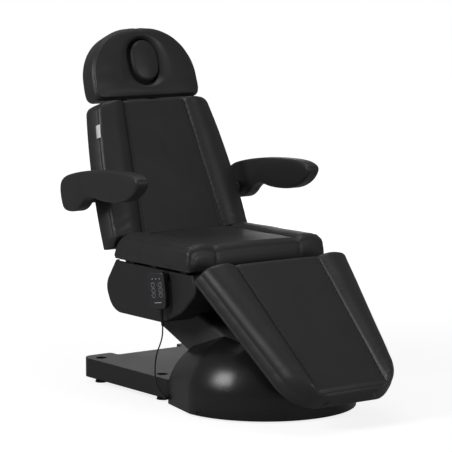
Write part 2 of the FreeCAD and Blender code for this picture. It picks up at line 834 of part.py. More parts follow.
def carriage_plates():
    """Two plates from the upper pivots to the seat frame."""
    low = carrier_lower_z - eye_radius
    outline = [(carriage_low_y, carrier_upper_z), (carrier_pivot_y - eye_radius, low)]
    outline += [(carrier_pivot_y + eye_radius, low)]
    outline += [(carriage_top_rear_y, frame_z), (carriage_top_front_y, frame_z)]
    radii = [eye_radius, eye_radius, eye_radius, sharp_radius, sharp_radius]
    plate = prism_x(outline, bracket_inner_x, bracket_inner_x + plate_thickness, radii)
    pivots = [(carrier_pivot_y, carrier_upper_z), (carrier_pivot_y, carrier_lower_z)]
    return both_sides(plate.cut(eye_holes(pivots, pin_radius + running_clearance, housing_half_width)))


def seat_frame():
    """Welded frame under the seat board, with lugs for the back hinge and the leg hinge."""
    pieces = []
    rear = frame_rear_y
    for x in (frame_rail_x, -frame_rail_x - frame_tube):
        pieces.append(box(x, x + frame_tube, seat_front_y + frame_tube, rear, frame_z, board_z))
    reach = housing_half_width - housing_wall
    for y in (cross_tube_nose_y, cross_tube_front_y, cross_tube_rear_y):
        pieces.append(box(-reach, reach, y, y + frame_tube, frame_z, board_z))
    outline = [(rear - frame_tube, frame_z), (rear, frame_z)]
    outline += [(back_hinge_y + hinge_lug_radius, back_hinge_z)]
    outline += [(back_hinge_y, back_hinge_z + hinge_lug_radius), (rear - frame_tube, board_z)]
    corners = [sharp_radius, sharp_radius, hinge_lug_radius, hinge_lug_radius, sharp_radius]
    bore_radius = pin_radius + running_clearance
    for x in (seat_lug_x, -seat_lug_x - hinge_lug):
        lug = prism_x(outline, x, x + hinge_lug, corners)
        bore = bar_x(back_hinge_y, back_hinge_z, bore_radius, x - overrun, x + hinge_lug + overrun)
        pieces.append(lug.cut(bore))
    lug_x = leg_lug_x + hinge_lug + side_gap
    lug_radius = hinge_lug_radius - overrun
    bore_radius = head_pin_radius + running_clearance
    for x in (lug_x, -lug_x - hinge_lug):
        lug = stadium_x(cross_tube_nose_y, leg_hinge_z, leg_hinge_y, leg_hinge_z, lug_radius,
                        x, x + hinge_lug)
        bore = bar_x(leg_hinge_y, leg_hinge_z, bore_radius, x - overrun, x + hinge_lug + overrun)
        pieces.append(lug.cut(bore))
    return welded(pieces)


def seat_board():
    """Plywood board under the seat cushion."""
    inset = board_thickness / 2
    half = seat_half_width - inset
    return box(-half, half, seat_front_y + inset, seat_board_rear_y, board_z, board_z + board_thickness)


def cushion_section(y, half, seam, height, crown, draw):
    """One cross section of an upholstered panel: flat below, drawn-in sides, two bolsters and a middle."""
    edge = height * side_height_share
    low_half = half - draw
    high_half = half - draw * side_draw_share
    valley = height - crown * valley_share
    bolster = (half + seam) / 2
    top = height + crown
    swell = edge * side_swell_share

    def at(x, z):
        return vec(x, y, z)
    edges = [Part.LineSegment(at(-low_half, 0), at(low_half, 0))]
    edges.append(Part.Arc(at(low_half, 0), at(half, swell), at(high_half, edge)))
    edges.append(Part.Arc(at(high_half, edge), at(bolster, top), at(seam, valley)))
    edges.append(Part.Arc(at(seam, valley), at(0, height + crown * middle_crown_share), at(-seam, valley)))
    edges.append(Part.Arc(at(-seam, valley), at(-bolster, top), at(-high_half, edge)))
    edges.append(Part.Arc(at(-high_half, edge), at(-half, swell), at(-low_half, 0)))
    return Part.Wire([edge_.toShape() for edge_ in edges])


def cushion(stations, crown, draw):
    """An upholstered panel through (place, half width, seam, height) stations along its length."""
    tallest = max(station[3] for station in stations)
    wires = []
    for y, half, seam, height in stations:
        wires.append(cushion_section(y, half, seam, height, crown * height / tallest, draw))
    return Part.makeLoft(wires, True, True)


def rolled_end(end, inward, places, shares, half_at, seam_at, height):
    """Stations from a panel's end inwards (1 or -1), where the pad rolls over towards its board."""
    stations = []
    for place, tall in zip(places, shares):
        y = end + inward * place
        shrink = (1 - tall) * height * end_shrink_share
        stations.append((y, half_at(y) - shrink, seam_at(y), height * tall))
    return stations


def along(places, length):
    """Places given as shares of a length."""
    return [place * length for place in places]


def corner_draw(room, radius):
    """How far a rounded plan corner draws the side in, at a distance from the panel's end."""
    if room >= radius:
        return 0
    return radius - math.sqrt(max(0, radius ** 2 - (radius - room) ** 2))


def straight(start, end, first, last):
    """A width that changes evenly from first to last between two places."""
    return lambda y: first + (last - first) * (y - start) / (end - start)


def seat_cushion():
    """Seat cushion with a rolled front edge, two sewn channels and a low lip under the backrest."""
    halves = straight(seat_front_y, seat_rear_y, seat_half_width, seat_half_width)
    seams = straight(seat_front_y, seat_rear_y, seat_seam_front_x, seat_seam_rear_x)
    tall = seat_cushion_height
    front = along(end_place_shares, tall)
    stations = rolled_end(seat_front_y, 1, front, end_height_shares, halves, seams, tall)
    rear = rolled_end(seat_rear_y, -1, seat_rear_places, seat_rear_height_shares, halves, seams, tall)
    pad = cushion(stations + rear[::-1], seat_crown, seat_crown)
    pad.translate(vec(0, 0, board_z + board_thickness))
    return pad


def housing_outline(inset):
    """Side view of the housing and its corner radii, drawn in by inset at the ends and the bottom."""
    low = housing_bottom_z + inset
    front = housing_front_y + inset
    rear = housing_rear_y - inset
    depth = housing_top_z - housing_bottom_z
    length = housing_rear_y - housing_front_y
    chin_along, chin_up = housing_chin_shares
    points = [(front + length * housing_lip_share, housing_top_z)]
    points += [(front, housing_top_z - depth * housing_nose_drop_share)]
    points += [(front + length * chin_along, low + depth * chin_up)]
    points += [(front + length * housing_belly_share, low)]
    points += [(rear - length * housing_heel_share, low), (rear, low + depth * housing_tail_rise_share)]
    points += [(rear - length * housing_tail_share, housing_top_z)]
    corner = housing_corner - inset
    belly = housing_belly_radius - inset
    heel = housing_heel_radius - inset
    return points, [sharp_radius, corner, belly, belly, heel, corner, sharp_radius]


def housing_cover():
    """Moulded tub under the seat, open above, with an opening for the arm and slots for the leg hinge."""
    half = housing_half_width
    top = housing_top_z + overrun
    outline, corners = housing_outline(0)
    tub = prism_x(outline, -half, half, corners)
    rims = []
    for edge in tub.Edges:
        if edge.BoundBox.XLength < seat_gap and edge.BoundBox.ZMin < housing_top_z - seat_gap:
            rims.append(edge)
    tub = tub.makeFillet(housing_rim_radius, rims)
    inner = half - housing_wall
    outline, corners = housing_outline(housing_wall)
    hollow = prism_x(outline, -inner, inner, corners)
    mouth_z = housing_top_z - housing_wall
    mouth = box(-inner, inner, housing_mouth_front_y, housing_mouth_rear_y, mouth_z, top)
    arm_half = housing_opening_half
    arm = box(-arm_half, arm_half, housing_opening_front_y, housing_opening_rear_y,
              housing_bottom_z - overrun, housing_bottom_z + housing_opening_rise)
    nose_half = housing_nose_notch_half
    front = housing_front_y - overrun
    nose = box(-nose_half, nose_half, front, cross_tube_nose_y, housing_nose_notch_z, top)
    slot_x0 = leg_act_x - housing_lever_slot_half
    slot_x1 = leg_act_x + housing_lever_slot_half
    slot = box(slot_x0, slot_x1, front, cross_tube_nose_y, housing_lever_slot_z, top)
    rear_half = housing_rear_notch_half
    rear = box(-rear_half, rear_half, housing_opening_rear_y, housing_rear_y + overrun,
               housing_rear_notch_z, top)
    return tub.cut([hollow.fuse(mouth), arm, nose, slot, rear])


def back_hinge_pins():
    """The two hinge pins of the backrest, in the seat frame's lugs."""
    inner = back_tube_x + overrun
    return both_sides(bar_x(back_hinge_y, back_hinge_z, pin_radius, inner, back_hinge_pin_end_x))


def leg_hinge_pins():
    """The two hinge pins of the leg rest, in the seat frame's lugs."""
    inner = leg_tube_x + overrun
    return both_sides(bar_x(leg_hinge_y, leg_hinge_z, head_pin_radius, inner, leg_pin_end_x))


def back_frame():
    """Frame behind the backrest: torque tube with lugs, two uprights, cross tubes and the lever."""
    pieces = []
    for x in (back_tube_x, -back_tube_x - back_tube_width):
        upright = box(x, x + back_tube_width, back_tube_start, back_tube_end, -back_tube_depth, 0)
        pieces.append(lay(upright, *back_panel))
    half = back_tube_x + overrun
    for s in (axle_s + back_cross_gap, back_tube_end - back_tube_width):
        cross = box(-half, half, s, s + back_tube_width, -back_tube_depth, 0)
        pieces.append(lay(cross, *back_panel))
    lug_radius = back_tube_depth / 2
    y0, z0 = panel_point(*back_panel, back_lug_radius_share * lug_radius, -lug_radius)
    y1, z1 = panel_point(*back_panel, back_tube_start + back_tube_width, -lug_radius)
    for x in (back_lug_x - hinge_lug, -back_lug_x):
        pieces.append(stadium_x(back_hinge_y, back_hinge_z, y0, z0, lug_radius, x, x + hinge_lug))
        pieces.append(stadium_x(y0, z0, y1, z1, lug_radius, x, x + hinge_lug))
    tube = bar_x(back_hinge_y, back_hinge_z, hinge_lug_radius, -back_lug_x, back_lug_x)
    pieces.append(tube)
    inner = act_eye_half_width + overrun
    lever = (back_hinge_y, back_hinge_z, back_lever_y, back_lever_z, lever_tip_radius)
    for x in (back_act_x + inner, back_act_x - inner - act_cheek):
        pieces.append(stadium_x(*lever, x, x + act_cheek))
    reach = inner + act_cheek
    pieces.append(bar_x(back_lever_y, back_lever_z, act_pin_radius, back_act_x - reach, back_act_x + reach))
    frame = welded(pieces)
    bore_radius = pin_radius + running_clearance
    bore = bar_x(back_hinge_y, back_hinge_z, bore_radius, back_tube_x, back_lug_x + overrun)
    return frame.cut([bore, bore.mirror(ORIGIN, X_AXIS)])


def tapered_board(start, end, first, last, corner):
    """A flat board that narrows along its length, with rounded corners at its far end."""
    plan = [(-first, start), (first, start), (last, end), (-last, end)]
    return prism_z(plan, 0, board_thickness, [board_thickness, board_thickness, corner, corner])


def back_width(s):
    """Half width of the backrest without its corners; it narrows faster towards the top."""
    return back_bottom_half - back_top_draw * (s / back_length) ** 2


def back_half(s):
    """Half width of the backrest at a place along its length, with its top corners rounded."""
    return back_width(s) - corner_draw(back_length - s, back_corner)


def back_board():
    """Plywood board of the backrest."""
    inset = back_crown
    end = back_length - inset
    first = back_width(back_board_start) - inset
    board = tapered_board(back_board_start, end, first, back_width(end) - inset, back_corner)
    return lay(board, *back_panel)


def back_cushion():
    """Backrest cushion: two bolsters beside a tapering middle panel."""
    seams = straight(0, back_length, back_seam_bottom_x, back_seam_top_x)
    tall = back_cushion_height
    places = along(end_place_shares, tall)
    stations = rolled_end(back_cushion_start, 1, places, end_height_shares, back_half, seams, tall)
    for s in along(back_middle_shares, back_length):
        stations.append((s, back_half(s), seams(s), tall))
    stations += rolled_end(back_length, -1, places, end_height_shares, back_half, seams, tall)[::-1]
    pad = cushion(stations, back_crown, back_crown)
    pad.translate(vec(0, 0, board_thickness))
    return lay(pad, *back_panel)


def leg_frame():
    """Frame under the leg rest: lugs on the hinge, two long tubes, cross tubes and the lever."""
    pieces = []
    for x in (leg_tube_x, -leg_tube_x - leg_tube_width):
        tube = box(x, x + leg_tube_width, -leg_tube_end, -leg_tube_start, -leg_tube_depth, 0)
        pieces.append(lay(tube, *leg_panel))
    half = leg_tube_x + overrun
    for s in (leg_tube_end, leg_tube_end / 2):
        cross = box(-half, half, -s, -s + leg_tube_width, -leg_tube_depth, 0)
        pieces.append(lay(cross, *leg_panel))
    y1, z1 = panel_point(*leg_panel, -leg_tube_start - leg_tube_width, -leg_tube_depth / 2)
    for x in (leg_lug_x - hinge_lug, -leg_lug_x):
        pieces.append(stadium_x(leg_hinge_y, leg_hinge_z, y1, z1, leg_tube_depth / 2, x, x + hinge_lug))
    pieces.append(bar_x(leg_hinge_y, leg_hinge_z, hinge_lug_radius - overrun, -leg_lug_x, leg_lug_x))
    inner = act_eye_half_width + overrun
    lever = (leg_hinge_y, leg_hinge_z, leg_lever_y, leg_lever_z, lever_tip_radius)
    for x in (leg_act_x + inner, leg_act_x - inner - act_cheek):
        pieces.append(stadium_x(*lever, x, x + act_cheek))
    reach = inner + act_cheek
    pieces.append(bar_x(leg_lever_y, leg_lever_z, act_pin_radius, leg_act_x - reach, leg_act_x + reach))
    frame = welded(pieces)
    bore_radius = head_pin_radius + running_clearance
    bore = bar_x(leg_hinge_y, leg_hinge_z, bore_radius, leg_tube_x, leg_lug_x + overrun)
    return frame.cut([bore, bore.mirror(ORIGIN, X_AXIS)])


def leg_board():
    """Board of the leg rest, with large rounded corners at the foot."""
    inset = board_thickness / 2
    plan = [(-leg_foot_half + inset, inset - leg_length), (leg_foot_half - inset, inset - leg_length)]
    plan += [(leg_root_half - inset, 0), (-leg_root_half + inset, 0)]
    corners = [leg_foot_corner, leg_foot_corner, board_thickness, board_thickness]
    board = prism_z(plan, 0, board_thickness, corners)
    return lay(board, *leg_panel)


def leg_half(s):
    """Half width of the leg rest at a place along its length, with the foot's corners rounded."""
    width = straight(-leg_length, 0, leg_foot_half, leg_root_half)(s)
    return width - corner_draw(s + leg_length, leg_foot_corner)


def leg_seam(s):
    """Half distance between the leg rest's seams, which run in round the foot's corners."""
    return min(straight(-leg_length, 0, leg_seam_foot_x, leg_seam_root_x)(s), leg_half(s) - leg_seam_margin)


def leg_cushion():
    """Leg rest cushion: two bolsters beside a tapering middle panel, round at the foot."""
    tall = leg_cushion_height
    foot_places = along(leg_foot_place_shares, leg_foot_corner)
    root_places = along(leg_root_place_shares, tall)
    foot = rolled_end(-leg_length, 1, foot_places, leg_foot_height_shares, leg_half, leg_seam, tall)
    root = rolled_end(0, -1, root_places, leg_root_height_shares, leg_half, leg_seam, tall)
    pad = cushion(foot + root[::-1], leg_crown, leg_crown)
    pad.translate(vec(0, 0, board_thickness))
    return lay(pad, *leg_panel)


def head_wire(inset, z):
    """Outline of the headrest: straight foot, rounded low corners, large arcs and a short flat top."""
    radius = head_arc_radius - inset
    half = head_half_width - inset
    corner = head_corner
    low = inset
    top = head_arc_centre + radius
    flat = half - radius
    edges = [Part.LineSegment(vec(-half + corner, low, z), vec(half - corner, low, z))]
    near = corner * diagonal
    far = radius * diagonal
    for side in (1, -1):
        foot = vec(side * (half - corner), low, z)
        knee = vec(side * half, low + corner, z)
        bend = vec(side * (half - corner + near), low + corner - near, z)
        spring = vec(side * half, head_arc_centre, z)
        haunch = vec(side * (flat + far), head_arc_centre + far, z)
        crest = vec(side * flat, top, z)
        edges.append(Part.Arc(foot, bend, knee))
        edges.append(Part.LineSegment(knee, spring))
        edges.append(Part.Arc(spring, haunch, crest))
    edges.append(Part.LineSegment(vec(-flat, top, z), vec(flat, top, z)))
    return Part.Wire(Part.sortEdges([edge.toShape() for edge in edges])[0])


def hole_outline(inset, z):
    """Oval outline of the face hole, drawn in by inset."""
    half = hole_half_width - inset
    rise = hole_half_height - hole_half_width
    side = half * diagonal
    top = hole_centre + rise
    low = hole_centre - rise
    edges = [Part.LineSegment(vec(half, low, z), vec(half, top, z))]
    edges.append(Part.Arc(vec(half, top, z), vec(side, top + side, z), vec(0, top + half, z)))
    edges.append(Part.Arc(vec(0, top + half, z), vec(-side, top + side, z), vec(-half, top, z)))
    edges.append(Part.LineSegment(vec(-half, top, z), vec(-half, low, z)))
    edges.append(Part.Arc(vec(-half, low, z), vec(-side, low - side, z), vec(0, low - half, z)))
    edges.append(Part.Arc(vec(0, low - half, z), vec(side, low - side, z), vec(half, low, z)))
    return Part.Wire([edge.toShape() for edge in edges])


def hole_prism(inset, z0, z1):
    """The face hole as a prism."""
    return Part.Face(hole_outline(inset, z0)).extrude(vec(0, 0, z1 - z0))


def headrest_board():
    """Board of the headrest with the face hole."""
    plate = Part.Face(head_wire(head_board_inset, 0)).extrude(vec(0, 0, board_thickness))
    return lay(plate.cut(hole_prism(0, -overrun, board_thickness + overrun)), *head_panel)


def headrest_cushion():
    """Round-topped headrest cushion with drawn-in sides and the face hole."""
    tall = head_thickness - board_thickness
    wires = []
    for inset, share in zip(head_layer_insets, head_layer_shares):
        wires.append(head_wire(inset, board_thickness + tall * share))
    pad = Part.makeLoft(wires, True, True)
    pad = pad.cut(hole_prism(0, 0, head_thickness + overrun))
    return lay(pad, *head_panel)


def face_plug():
    """Removable oval pad that fills the front of the face hole."""
    base = head_thickness - plug_depth
    wires = [hole_outline(plug_gap + plug_crown, base), hole_outline(plug_gap, base + plug_crown)]
    wires.append(hole_outline(plug_gap, head_thickness - plug_crown))
    wires.append(hole_outline(plug_gap + plug_crown, head_thickness))
    wires.append(hole_outline(plug_gap + plug_top_inset, head_thickness + plug_crown / 2))
    return lay(Part.makeLoft(wires, True, True), *head_panel)


def back_head_bracket():
    """Hinge bracket of the headrest: a cross plate behind the top tube with two lugs."""
    half = head_plate_x + hinge_lug
    low = back_tube_end - back_tube_width
    plate = box(-half, half, low, back_tube_end, -back_tube_depth - hinge_lug, -back_tube_depth)
    pieces = [lay(plate, *back_panel)]
    for x in (head_plate_x, -head_plate_x - hinge_lug):
        lug = [panel_point(*back_panel, low, -back_tube_depth)]
        lug += [panel_point(*back_panel, low, -back_tube_depth - hinge_lug)]
        lug += [panel_point(*back_panel, head_hinge_s, head_hinge_n - head_lug_radius)]
        lug += [panel_point(*back_panel, head_hinge_s + head_lug_radius, head_hinge_n)]
        lug += [panel_point(*back_panel, head_hinge_s, head_hinge_n + head_lug_radius)]
        lug += [panel_point(*back_panel, back_tube_end + overrun, -seat_gap)]
        lug += [panel_point(*back_panel, back_tube_end + overrun, -back_tube_depth)]
        pieces.append(prism_x(lug, x, x + hinge_lug))
    bracket = welded(pieces)
    return bracket.cut(bar_x(head_hinge_y, head_hinge_z, head_pin_radius + running_clearance, -half, half))


def head_pin():
    """Hinge pin of the headrest."""
    half = head_plate_x + hinge_lug + side_gap
    return bar_x(head_hinge_y, head_hinge_z, head_pin_radius, -half, half)


def headrest_arms():
    """Two hinge arms and a cross plate behind the headrest's board."""
    middle = (head_corner + head_arm_reach) / 2
    bend_y, bend_z = panel_point(*head_panel, -head_lug_radius / 2, -head_lug_radius - seat_gap)
    seat_y, seat_z = panel_point(*head_panel, middle, -head_lug_radius)
    pieces = []
    for x in (head_arm_x, -head_arm_x - hinge_lug):
        reach = (head_lug_radius, x, x + hinge_lug)
        pieces.append(stadium_x(head_hinge_y, head_hinge_z, bend_y, bend_z, *reach))
        pieces.append(stadium_x(bend_y, bend_z, seat_y, seat_z, *reach))
    half = head_arm_x + hinge_lug
    pieces.append(lay(box(-half, half, head_corner, head_arm_reach, -hinge_lug, 0), *head_panel))
    arms = welded(pieces)
    reach = half + overrun
    return arms.cut(bar_x(head_hinge_y, head_hinge_z, head_pin_radius + running_clearance, -reach, reach))


def armrest_pad(side):
    """Padded boomerang armrest with a bore for its axle."""
    front = arm_rear_y - arm_length
    outline = [(front + arm_length * a, arm_low_z + arm_rise * b) for a, b in arm_outline_shares]
    pad = prism_x(outline, arm_inner_x, arm_inner_x + arm_width, arm_rise)
    rims = [e for e in pad.Edges if e.BoundBox.XLength < seat_gap]
    pad = pad.makeFillet(arm_round, rims)
    bore_end = arm_inner_x + arm_width / 2
    bore = bar_x(axle_y, axle_z, axle_radius + running_clearance, arm_inner_x - overrun, bore_end)
    pad = pad.cut(bore)
    return pad if side > 0 else pad.mirror(ORIGIN, X_AXIS)


def armrest_hub(side):
    """Plastic collar between the armrest and the side of the backrest."""
    x0 = arm_inner_x - hub_length
    hub = Part.makeCone(hub_small_radius, hub_radius, hub_length, vec(x0, axle_y, axle_z), X_AXIS)
    bore = bar_x(axle_y, axle_z, axle_radius + running_clearance, x0 - overrun, arm_inner_x + overrun)
    hub = hub.cut(bore)
    return hub if side > 0 else hub.mirror(ORIGIN, X_AXIS)


def armrest_axles():
    """Two axles clamped on the backrest's uprights."""
    outer = arm_inner_x + arm_width / 2 - overrun
    axle = bar_x(axle_y, axle_z, axle_radius, back_tube_x + back_tube_width, outer)
    return both_sides(axle)


def handset_place(shape):
    """Turns the handset, drawn upright with its face towards -X, into its hanging place."""
    placed = shape.copy()
    placed.rotate(ORIGIN, X_AXIS, -handset_lean)
    placed.rotate(ORIGIN, Z_AXIS, handset_turn)
    placed.translate(vec(handset_x, handset_y, handset_z))
    return placed


def handset_block(x0, x1, inset=0):
    """A slice of the handset's body, narrower towards its foot."""
    half = handset_width / 2 - inset
    foot = half * handset_foot_share
    tall = handset_length / 2 - inset
    waist = -tall * handset_waist_share
    outline = [(-foot, -tall), (foot, -tall), (half, waist), (half, tall), (-half, tall), (-half, waist)]
    corner = handset_corner
    return prism_x(outline, x0, x1, [corner, corner, tall, corner, corner, tall])


def button_places():
    """Places (y, z) of the six buttons on the handset's face."""
    places = []
    for row in (1, 0, -1):
        for column in (-1, 1):
            z = button_centre_z + button_pitch_z * row + button_pitch_z
            places.append((button_pitch_y / 2 * column, z))
    return places


handset_half = handset_thickness / 2
handset_split = handset_half - handset_thickness * handset_front_share
button_floor = -handset_half + button_sink + button_gap


def handset_front():
    """Front shell of the handset with a well for each button."""
    shell = handset_block(-handset_half, handset_split)
    edges = [e for e in shell.Edges if e.BoundBox.XMax < -handset_half + seat_gap]
    shell = shell.makeFillet(button_height, edges)
    wells = []
    for y, z in button_places():
        well = bar_x(y, z, button_radius + button_gap, -handset_half - overrun, button_floor + button_gap)
        wells.append(well)
    return handset_place(shell.cut(wells))


def handset_back():
    """Back shell of the handset."""
    shell = handset_block(handset_split, handset_half)
    edges = [e for e in shell.Edges if e.BoundBox.XMin > handset_half - seat_gap]
    return handset_place(shell.makeFillet(button_height, edges))


def button(place):
    """One round push button with a domed cap."""
    y, z = place
    x0 = -handset_half - button_height + button_sink
    cap = bar_x(y, z, button_radius, x0, button_floor - button_gap * 2)
    cap = cap.makeFillet(button_gap * 2, [e for e in cap.Edges if e.BoundBox.XMax < x0 + seat_gap])
    return handset_place(cap)


def strain_relief():
    """Tapered, ribbed sleeve where the cord leaves the handset."""
    top = -handset_length / 2
    tip = vec(0, 0, top - relief_length)
    sleeve = Part.makeCone(relief_end_radius, relief_top_radius, relief_length, tip)
    grooves = []
    pitch = relief_length / relief_ribs
    deep = pitch * relief_groove_width_share
    for i in range(1, relief_ribs - 1):
        place = vec(0, 0, top - relief_length + pitch * i)
        radius = relief_end_radius + (relief_top_radius - relief_end_radius) * i / relief_ribs
        ring = Part.makeCylinder(relief_top_radius + overrun, deep, place)
        grooves.append(ring.cut(Part.makeCylinder(radius * relief_groove_share, deep, place)))
    return handset_place(sleeve.cut(grooves))


def handset_hook():
    """J-shaped hook on the side of the housing."""
    x0 = -housing_half_width
    y0 = handset_y - hook_width / 2
    y1 = handset_y + hook_width / 2
    plate = box(x0 - hook_sheet, x0, y0, y1, hook_low_z, hook_plate_top_z)
    out = x0 - hook_sheet * 2 - hook_gap
    web = box(out, x0, y0, y1, hook_low_z, hook_low_z + hook_sheet)
    tongue = box(out, out + hook_sheet, y0, y1, hook_low_z, hook_tongue_z)
    return welded([plate, web, tongue])


def handset_clip():
    """Inverted hook on the handset's back that hangs over the housing's hook."""
    middle = -housing_half_width - hook_sheet - hook_gap / 2
    half = clip_sheet / 2
    inner = hook_width / 3
    y0 = handset_y - inner
    y1 = handset_y + inner
    top = hook_tongue_z + seat_gap
    drop = box(middle - half, middle + half, y0, y1, hook_tongue_z - clip_drop, top + clip_sheet)
    roof = box(handset_x, middle + half, y0, y1, top, top + clip_sheet)
    bridge = roof.cut([handset_front(), handset_back()])
    return welded([drop] + [s for s in bridge.Solids if s.BoundBox.XMax > middle])


def cord_path(points):
    """A cord's path: straight runs joined by tangent arcs as large as the runs allow."""
    edges = []
    last = points[0]
    for i in range(1, len(points) - 1):
        corner = points[i]
        back = points[i - 1] - corner
        ahead = points[i + 1] - corner
        reach = cord_bend_share * min(back.Length, ahead.Length)
        u = back.normalize()
        v = ahead.normalize()
        half = math.acos(u.dot(v)) / 2
        size = reach * math.tan(half)
        start = corner + u * reach
        end = corner + v * reach
        middle = corner + (u + v).normalize() * (size / math.sin(half) - size)
        edges.append(Part.LineSegment(last, start).toShape())
        edges.append(Part.Arc(start, middle, end).toShape())
        last = end
    edges.append(Part.LineSegment(last, points[-1]).toShape())
    return Part.Wire(edges)


def handset_cord():
    """The handset's cord as one tube, cut where the lift arm's two moving stretches meet."""
    points = [vec(*point) for point in cord_route]
    path = cord_path(points)
    direction = points[1] - points[0]
    section = Part.Wire(Part.makeCircle(cord_diameter / 2, points[0], direction))
    tube = path.makePipeShell([section], True, False)
    reach = dome_radius
    low = box(-reach, reach, -reach, reach, -reach, cord_split_z)
    return tube.common(low).Solids[0], tube.cut(low).Solids[0]


def cord_boot():
    """Rubber boot where the cord enters the base beside the dome."""
    end = vec(*cord_route[-1])
    direction = (end - vec(*cord_route[-2])).normalize()
    start = end + direction * seat_gap
    return Part.makeCone(boot_neck_radius, boot_radius, boot_length, start, direction)


def save(name, shape):
    """Writes one sub-part, moved from the drawing's zero to the middle of the chair."""
    placed = shape.copy()
    placed.translate(vec(0, frame_shift_y, 0))
    placed.exportStep("parts/" + name + ".step")
    return placed


def build():
    """Builds every sub-part, by name."""
    made = {
        "base_tray": base_tray(),
        "base_rails": base_rails(),
        "levelling_feet": levelling_feet(),
        "foot_studs": foot_studs(),
        "mains_gland": mains_gland(),
        "dome_cover": dome_cover(),
        "control_box": control_box(),
        "pivot_brackets": pivot_brackets(),
        "lift_pivot_pins": lift_pivot_pins(),
        "lift_clevis": lift_clevis(),
        "cord_boot": cord_boot(),
        "lift_arm_frame": lift_arm_frame(),
        "arm_cover": arm_cover(),
        "lower_link": lower_link(),
        "carriage_plates": carriage_plates(),
        "upper_pivot_pins": upper_pivot_pins(),
        "seat_frame": seat_frame(),
        "seat_clevises": seat_clevises(),
        "seat_board": seat_board(),
        "seat_cushion": seat_cushion(),
        "housing_cover": housing_cover(),
        "handset_hook": handset_hook(),
        "back_hinge_pins": back_hinge_pins(),
        "leg_hinge_pins": leg_hinge_pins(),
        "back_frame": back_frame(),
        "back_board": back_board(),
        "back_cushion": back_cushion(),
        "armrest_axles": armrest_axles(),
        "head_hinge_bracket": back_head_bracket(),
        "head_hinge_pin": head_pin(),
        "headrest_board": headrest_board(),
        "headrest_cushion": headrest_cushion(),
        "headrest_arms": headrest_arms(),
        "face_plug": face_plug(),
        "leg_frame": leg_frame(),
        "leg_board": leg_board(),
        "leg_cushion": leg_cushion(),
        "handset_front": handset_front(),
        "handset_back": handset_back(),
        "handset_clip": handset_clip(),
        "strain_relief": strain_relief(),
    }
    for side, word in ((-1, "near"), (1, "far")):
        made["armrest_pad_" + word] = armrest_pad(side)
        made["armrest_hub_" + word] = armrest_hub(side)
    for number, place in enumerate(button_places(), 1):
        made["button_" + str(number)] = button(place)
    made["cord_lower"], made["cord_upper"] = handset_cord()
    lift = (lift_clevis_y, lift_clevis_z, lift_rod_y, lift_rod_z, 0, lift_tube_share, lift_eye_play)
    back = (back_clevis_y, back_clevis_z, back_lever_y, back_lever_z, back_act_x)
    back += (back_tube_share, back_eye_play)
    leg = (leg_clevis_y, leg_clevis_z, leg_lever_y, leg_lever_z, leg_act_x, leg_tube_share, leg_eye_play)
    for name, places in (("lift", lift), ("back", back), ("leg", leg)):
        made[name + "_actuator_body"], made[name + "_actuator_rod"] = actuator(*places)
    return made


if __name__ == "__main__":
    os.makedirs("parts", exist_ok=True)
    for node, solid in build().items():
        save(node, solid)
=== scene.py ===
"""Looks of a powered beauty chair: upholstery, finishes, handset cord and a plain studio.

Lengths in the classes are millimetres, as a maker would write them, unless a class says otherwise,
and every mesh is written in metres. A name that ends in share is a share of the size that it follows.
The chair faces -Y, +Z is up, and the handset hangs on the -X side.
"""

import json
import logging
import math
from dataclasses import dataclass, field
from enum import Enum
from typing import Dict, List, Optional, Sequence, Tuple

import bpy
import numpy as np
from mathutils import Matrix

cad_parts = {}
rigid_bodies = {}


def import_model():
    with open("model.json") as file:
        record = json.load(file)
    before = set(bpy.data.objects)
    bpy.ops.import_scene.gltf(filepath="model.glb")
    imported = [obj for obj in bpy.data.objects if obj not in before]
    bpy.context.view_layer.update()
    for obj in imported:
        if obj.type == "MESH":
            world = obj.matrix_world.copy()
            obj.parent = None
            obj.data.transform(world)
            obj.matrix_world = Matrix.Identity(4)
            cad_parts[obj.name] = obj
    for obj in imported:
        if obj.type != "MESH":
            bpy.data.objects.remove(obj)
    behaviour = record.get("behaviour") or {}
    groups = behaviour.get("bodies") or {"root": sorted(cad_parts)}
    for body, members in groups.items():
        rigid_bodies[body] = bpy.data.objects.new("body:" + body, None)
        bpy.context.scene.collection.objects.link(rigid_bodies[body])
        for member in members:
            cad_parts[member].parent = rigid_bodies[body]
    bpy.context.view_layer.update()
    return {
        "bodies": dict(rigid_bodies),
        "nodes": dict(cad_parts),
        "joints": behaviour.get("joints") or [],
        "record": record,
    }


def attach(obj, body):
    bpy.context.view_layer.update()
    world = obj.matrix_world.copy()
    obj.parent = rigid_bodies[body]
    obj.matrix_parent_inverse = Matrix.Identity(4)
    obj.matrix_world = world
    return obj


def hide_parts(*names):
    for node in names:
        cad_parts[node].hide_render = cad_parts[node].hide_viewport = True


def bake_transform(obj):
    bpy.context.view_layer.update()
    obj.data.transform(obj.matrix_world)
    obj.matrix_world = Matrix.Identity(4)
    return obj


MM = 0.001
FRAME_SHIFT_Y = 53.9          # the drawing's zero lies this far from the middle of the chair's box
IMAGE_PIXELS = 452
log = logging.getLogger("beauty_chair")
Array = np.ndarray
Point = Tuple[float, float, float]


def linear(hex_colour: str) -> Tuple[float, float, float, float]:
    """Turns an sRGB hex colour into linear values.

    Args:
        hex_colour: Six hex digits after a hash sign.

    Returns:
        Linear red, green, blue and a full alpha.
    """
    parts = np.array([int(hex_colour[i:i + 2], 16) for i in (1, 3, 5)]) / 255.0
    lit = np.where(parts <= 0.04045, parts / 12.92, ((parts + 0.055) / 1.055) ** 2.4)
    return (float(lit[0]), float(lit[1]), float(lit[2]), 1.0)


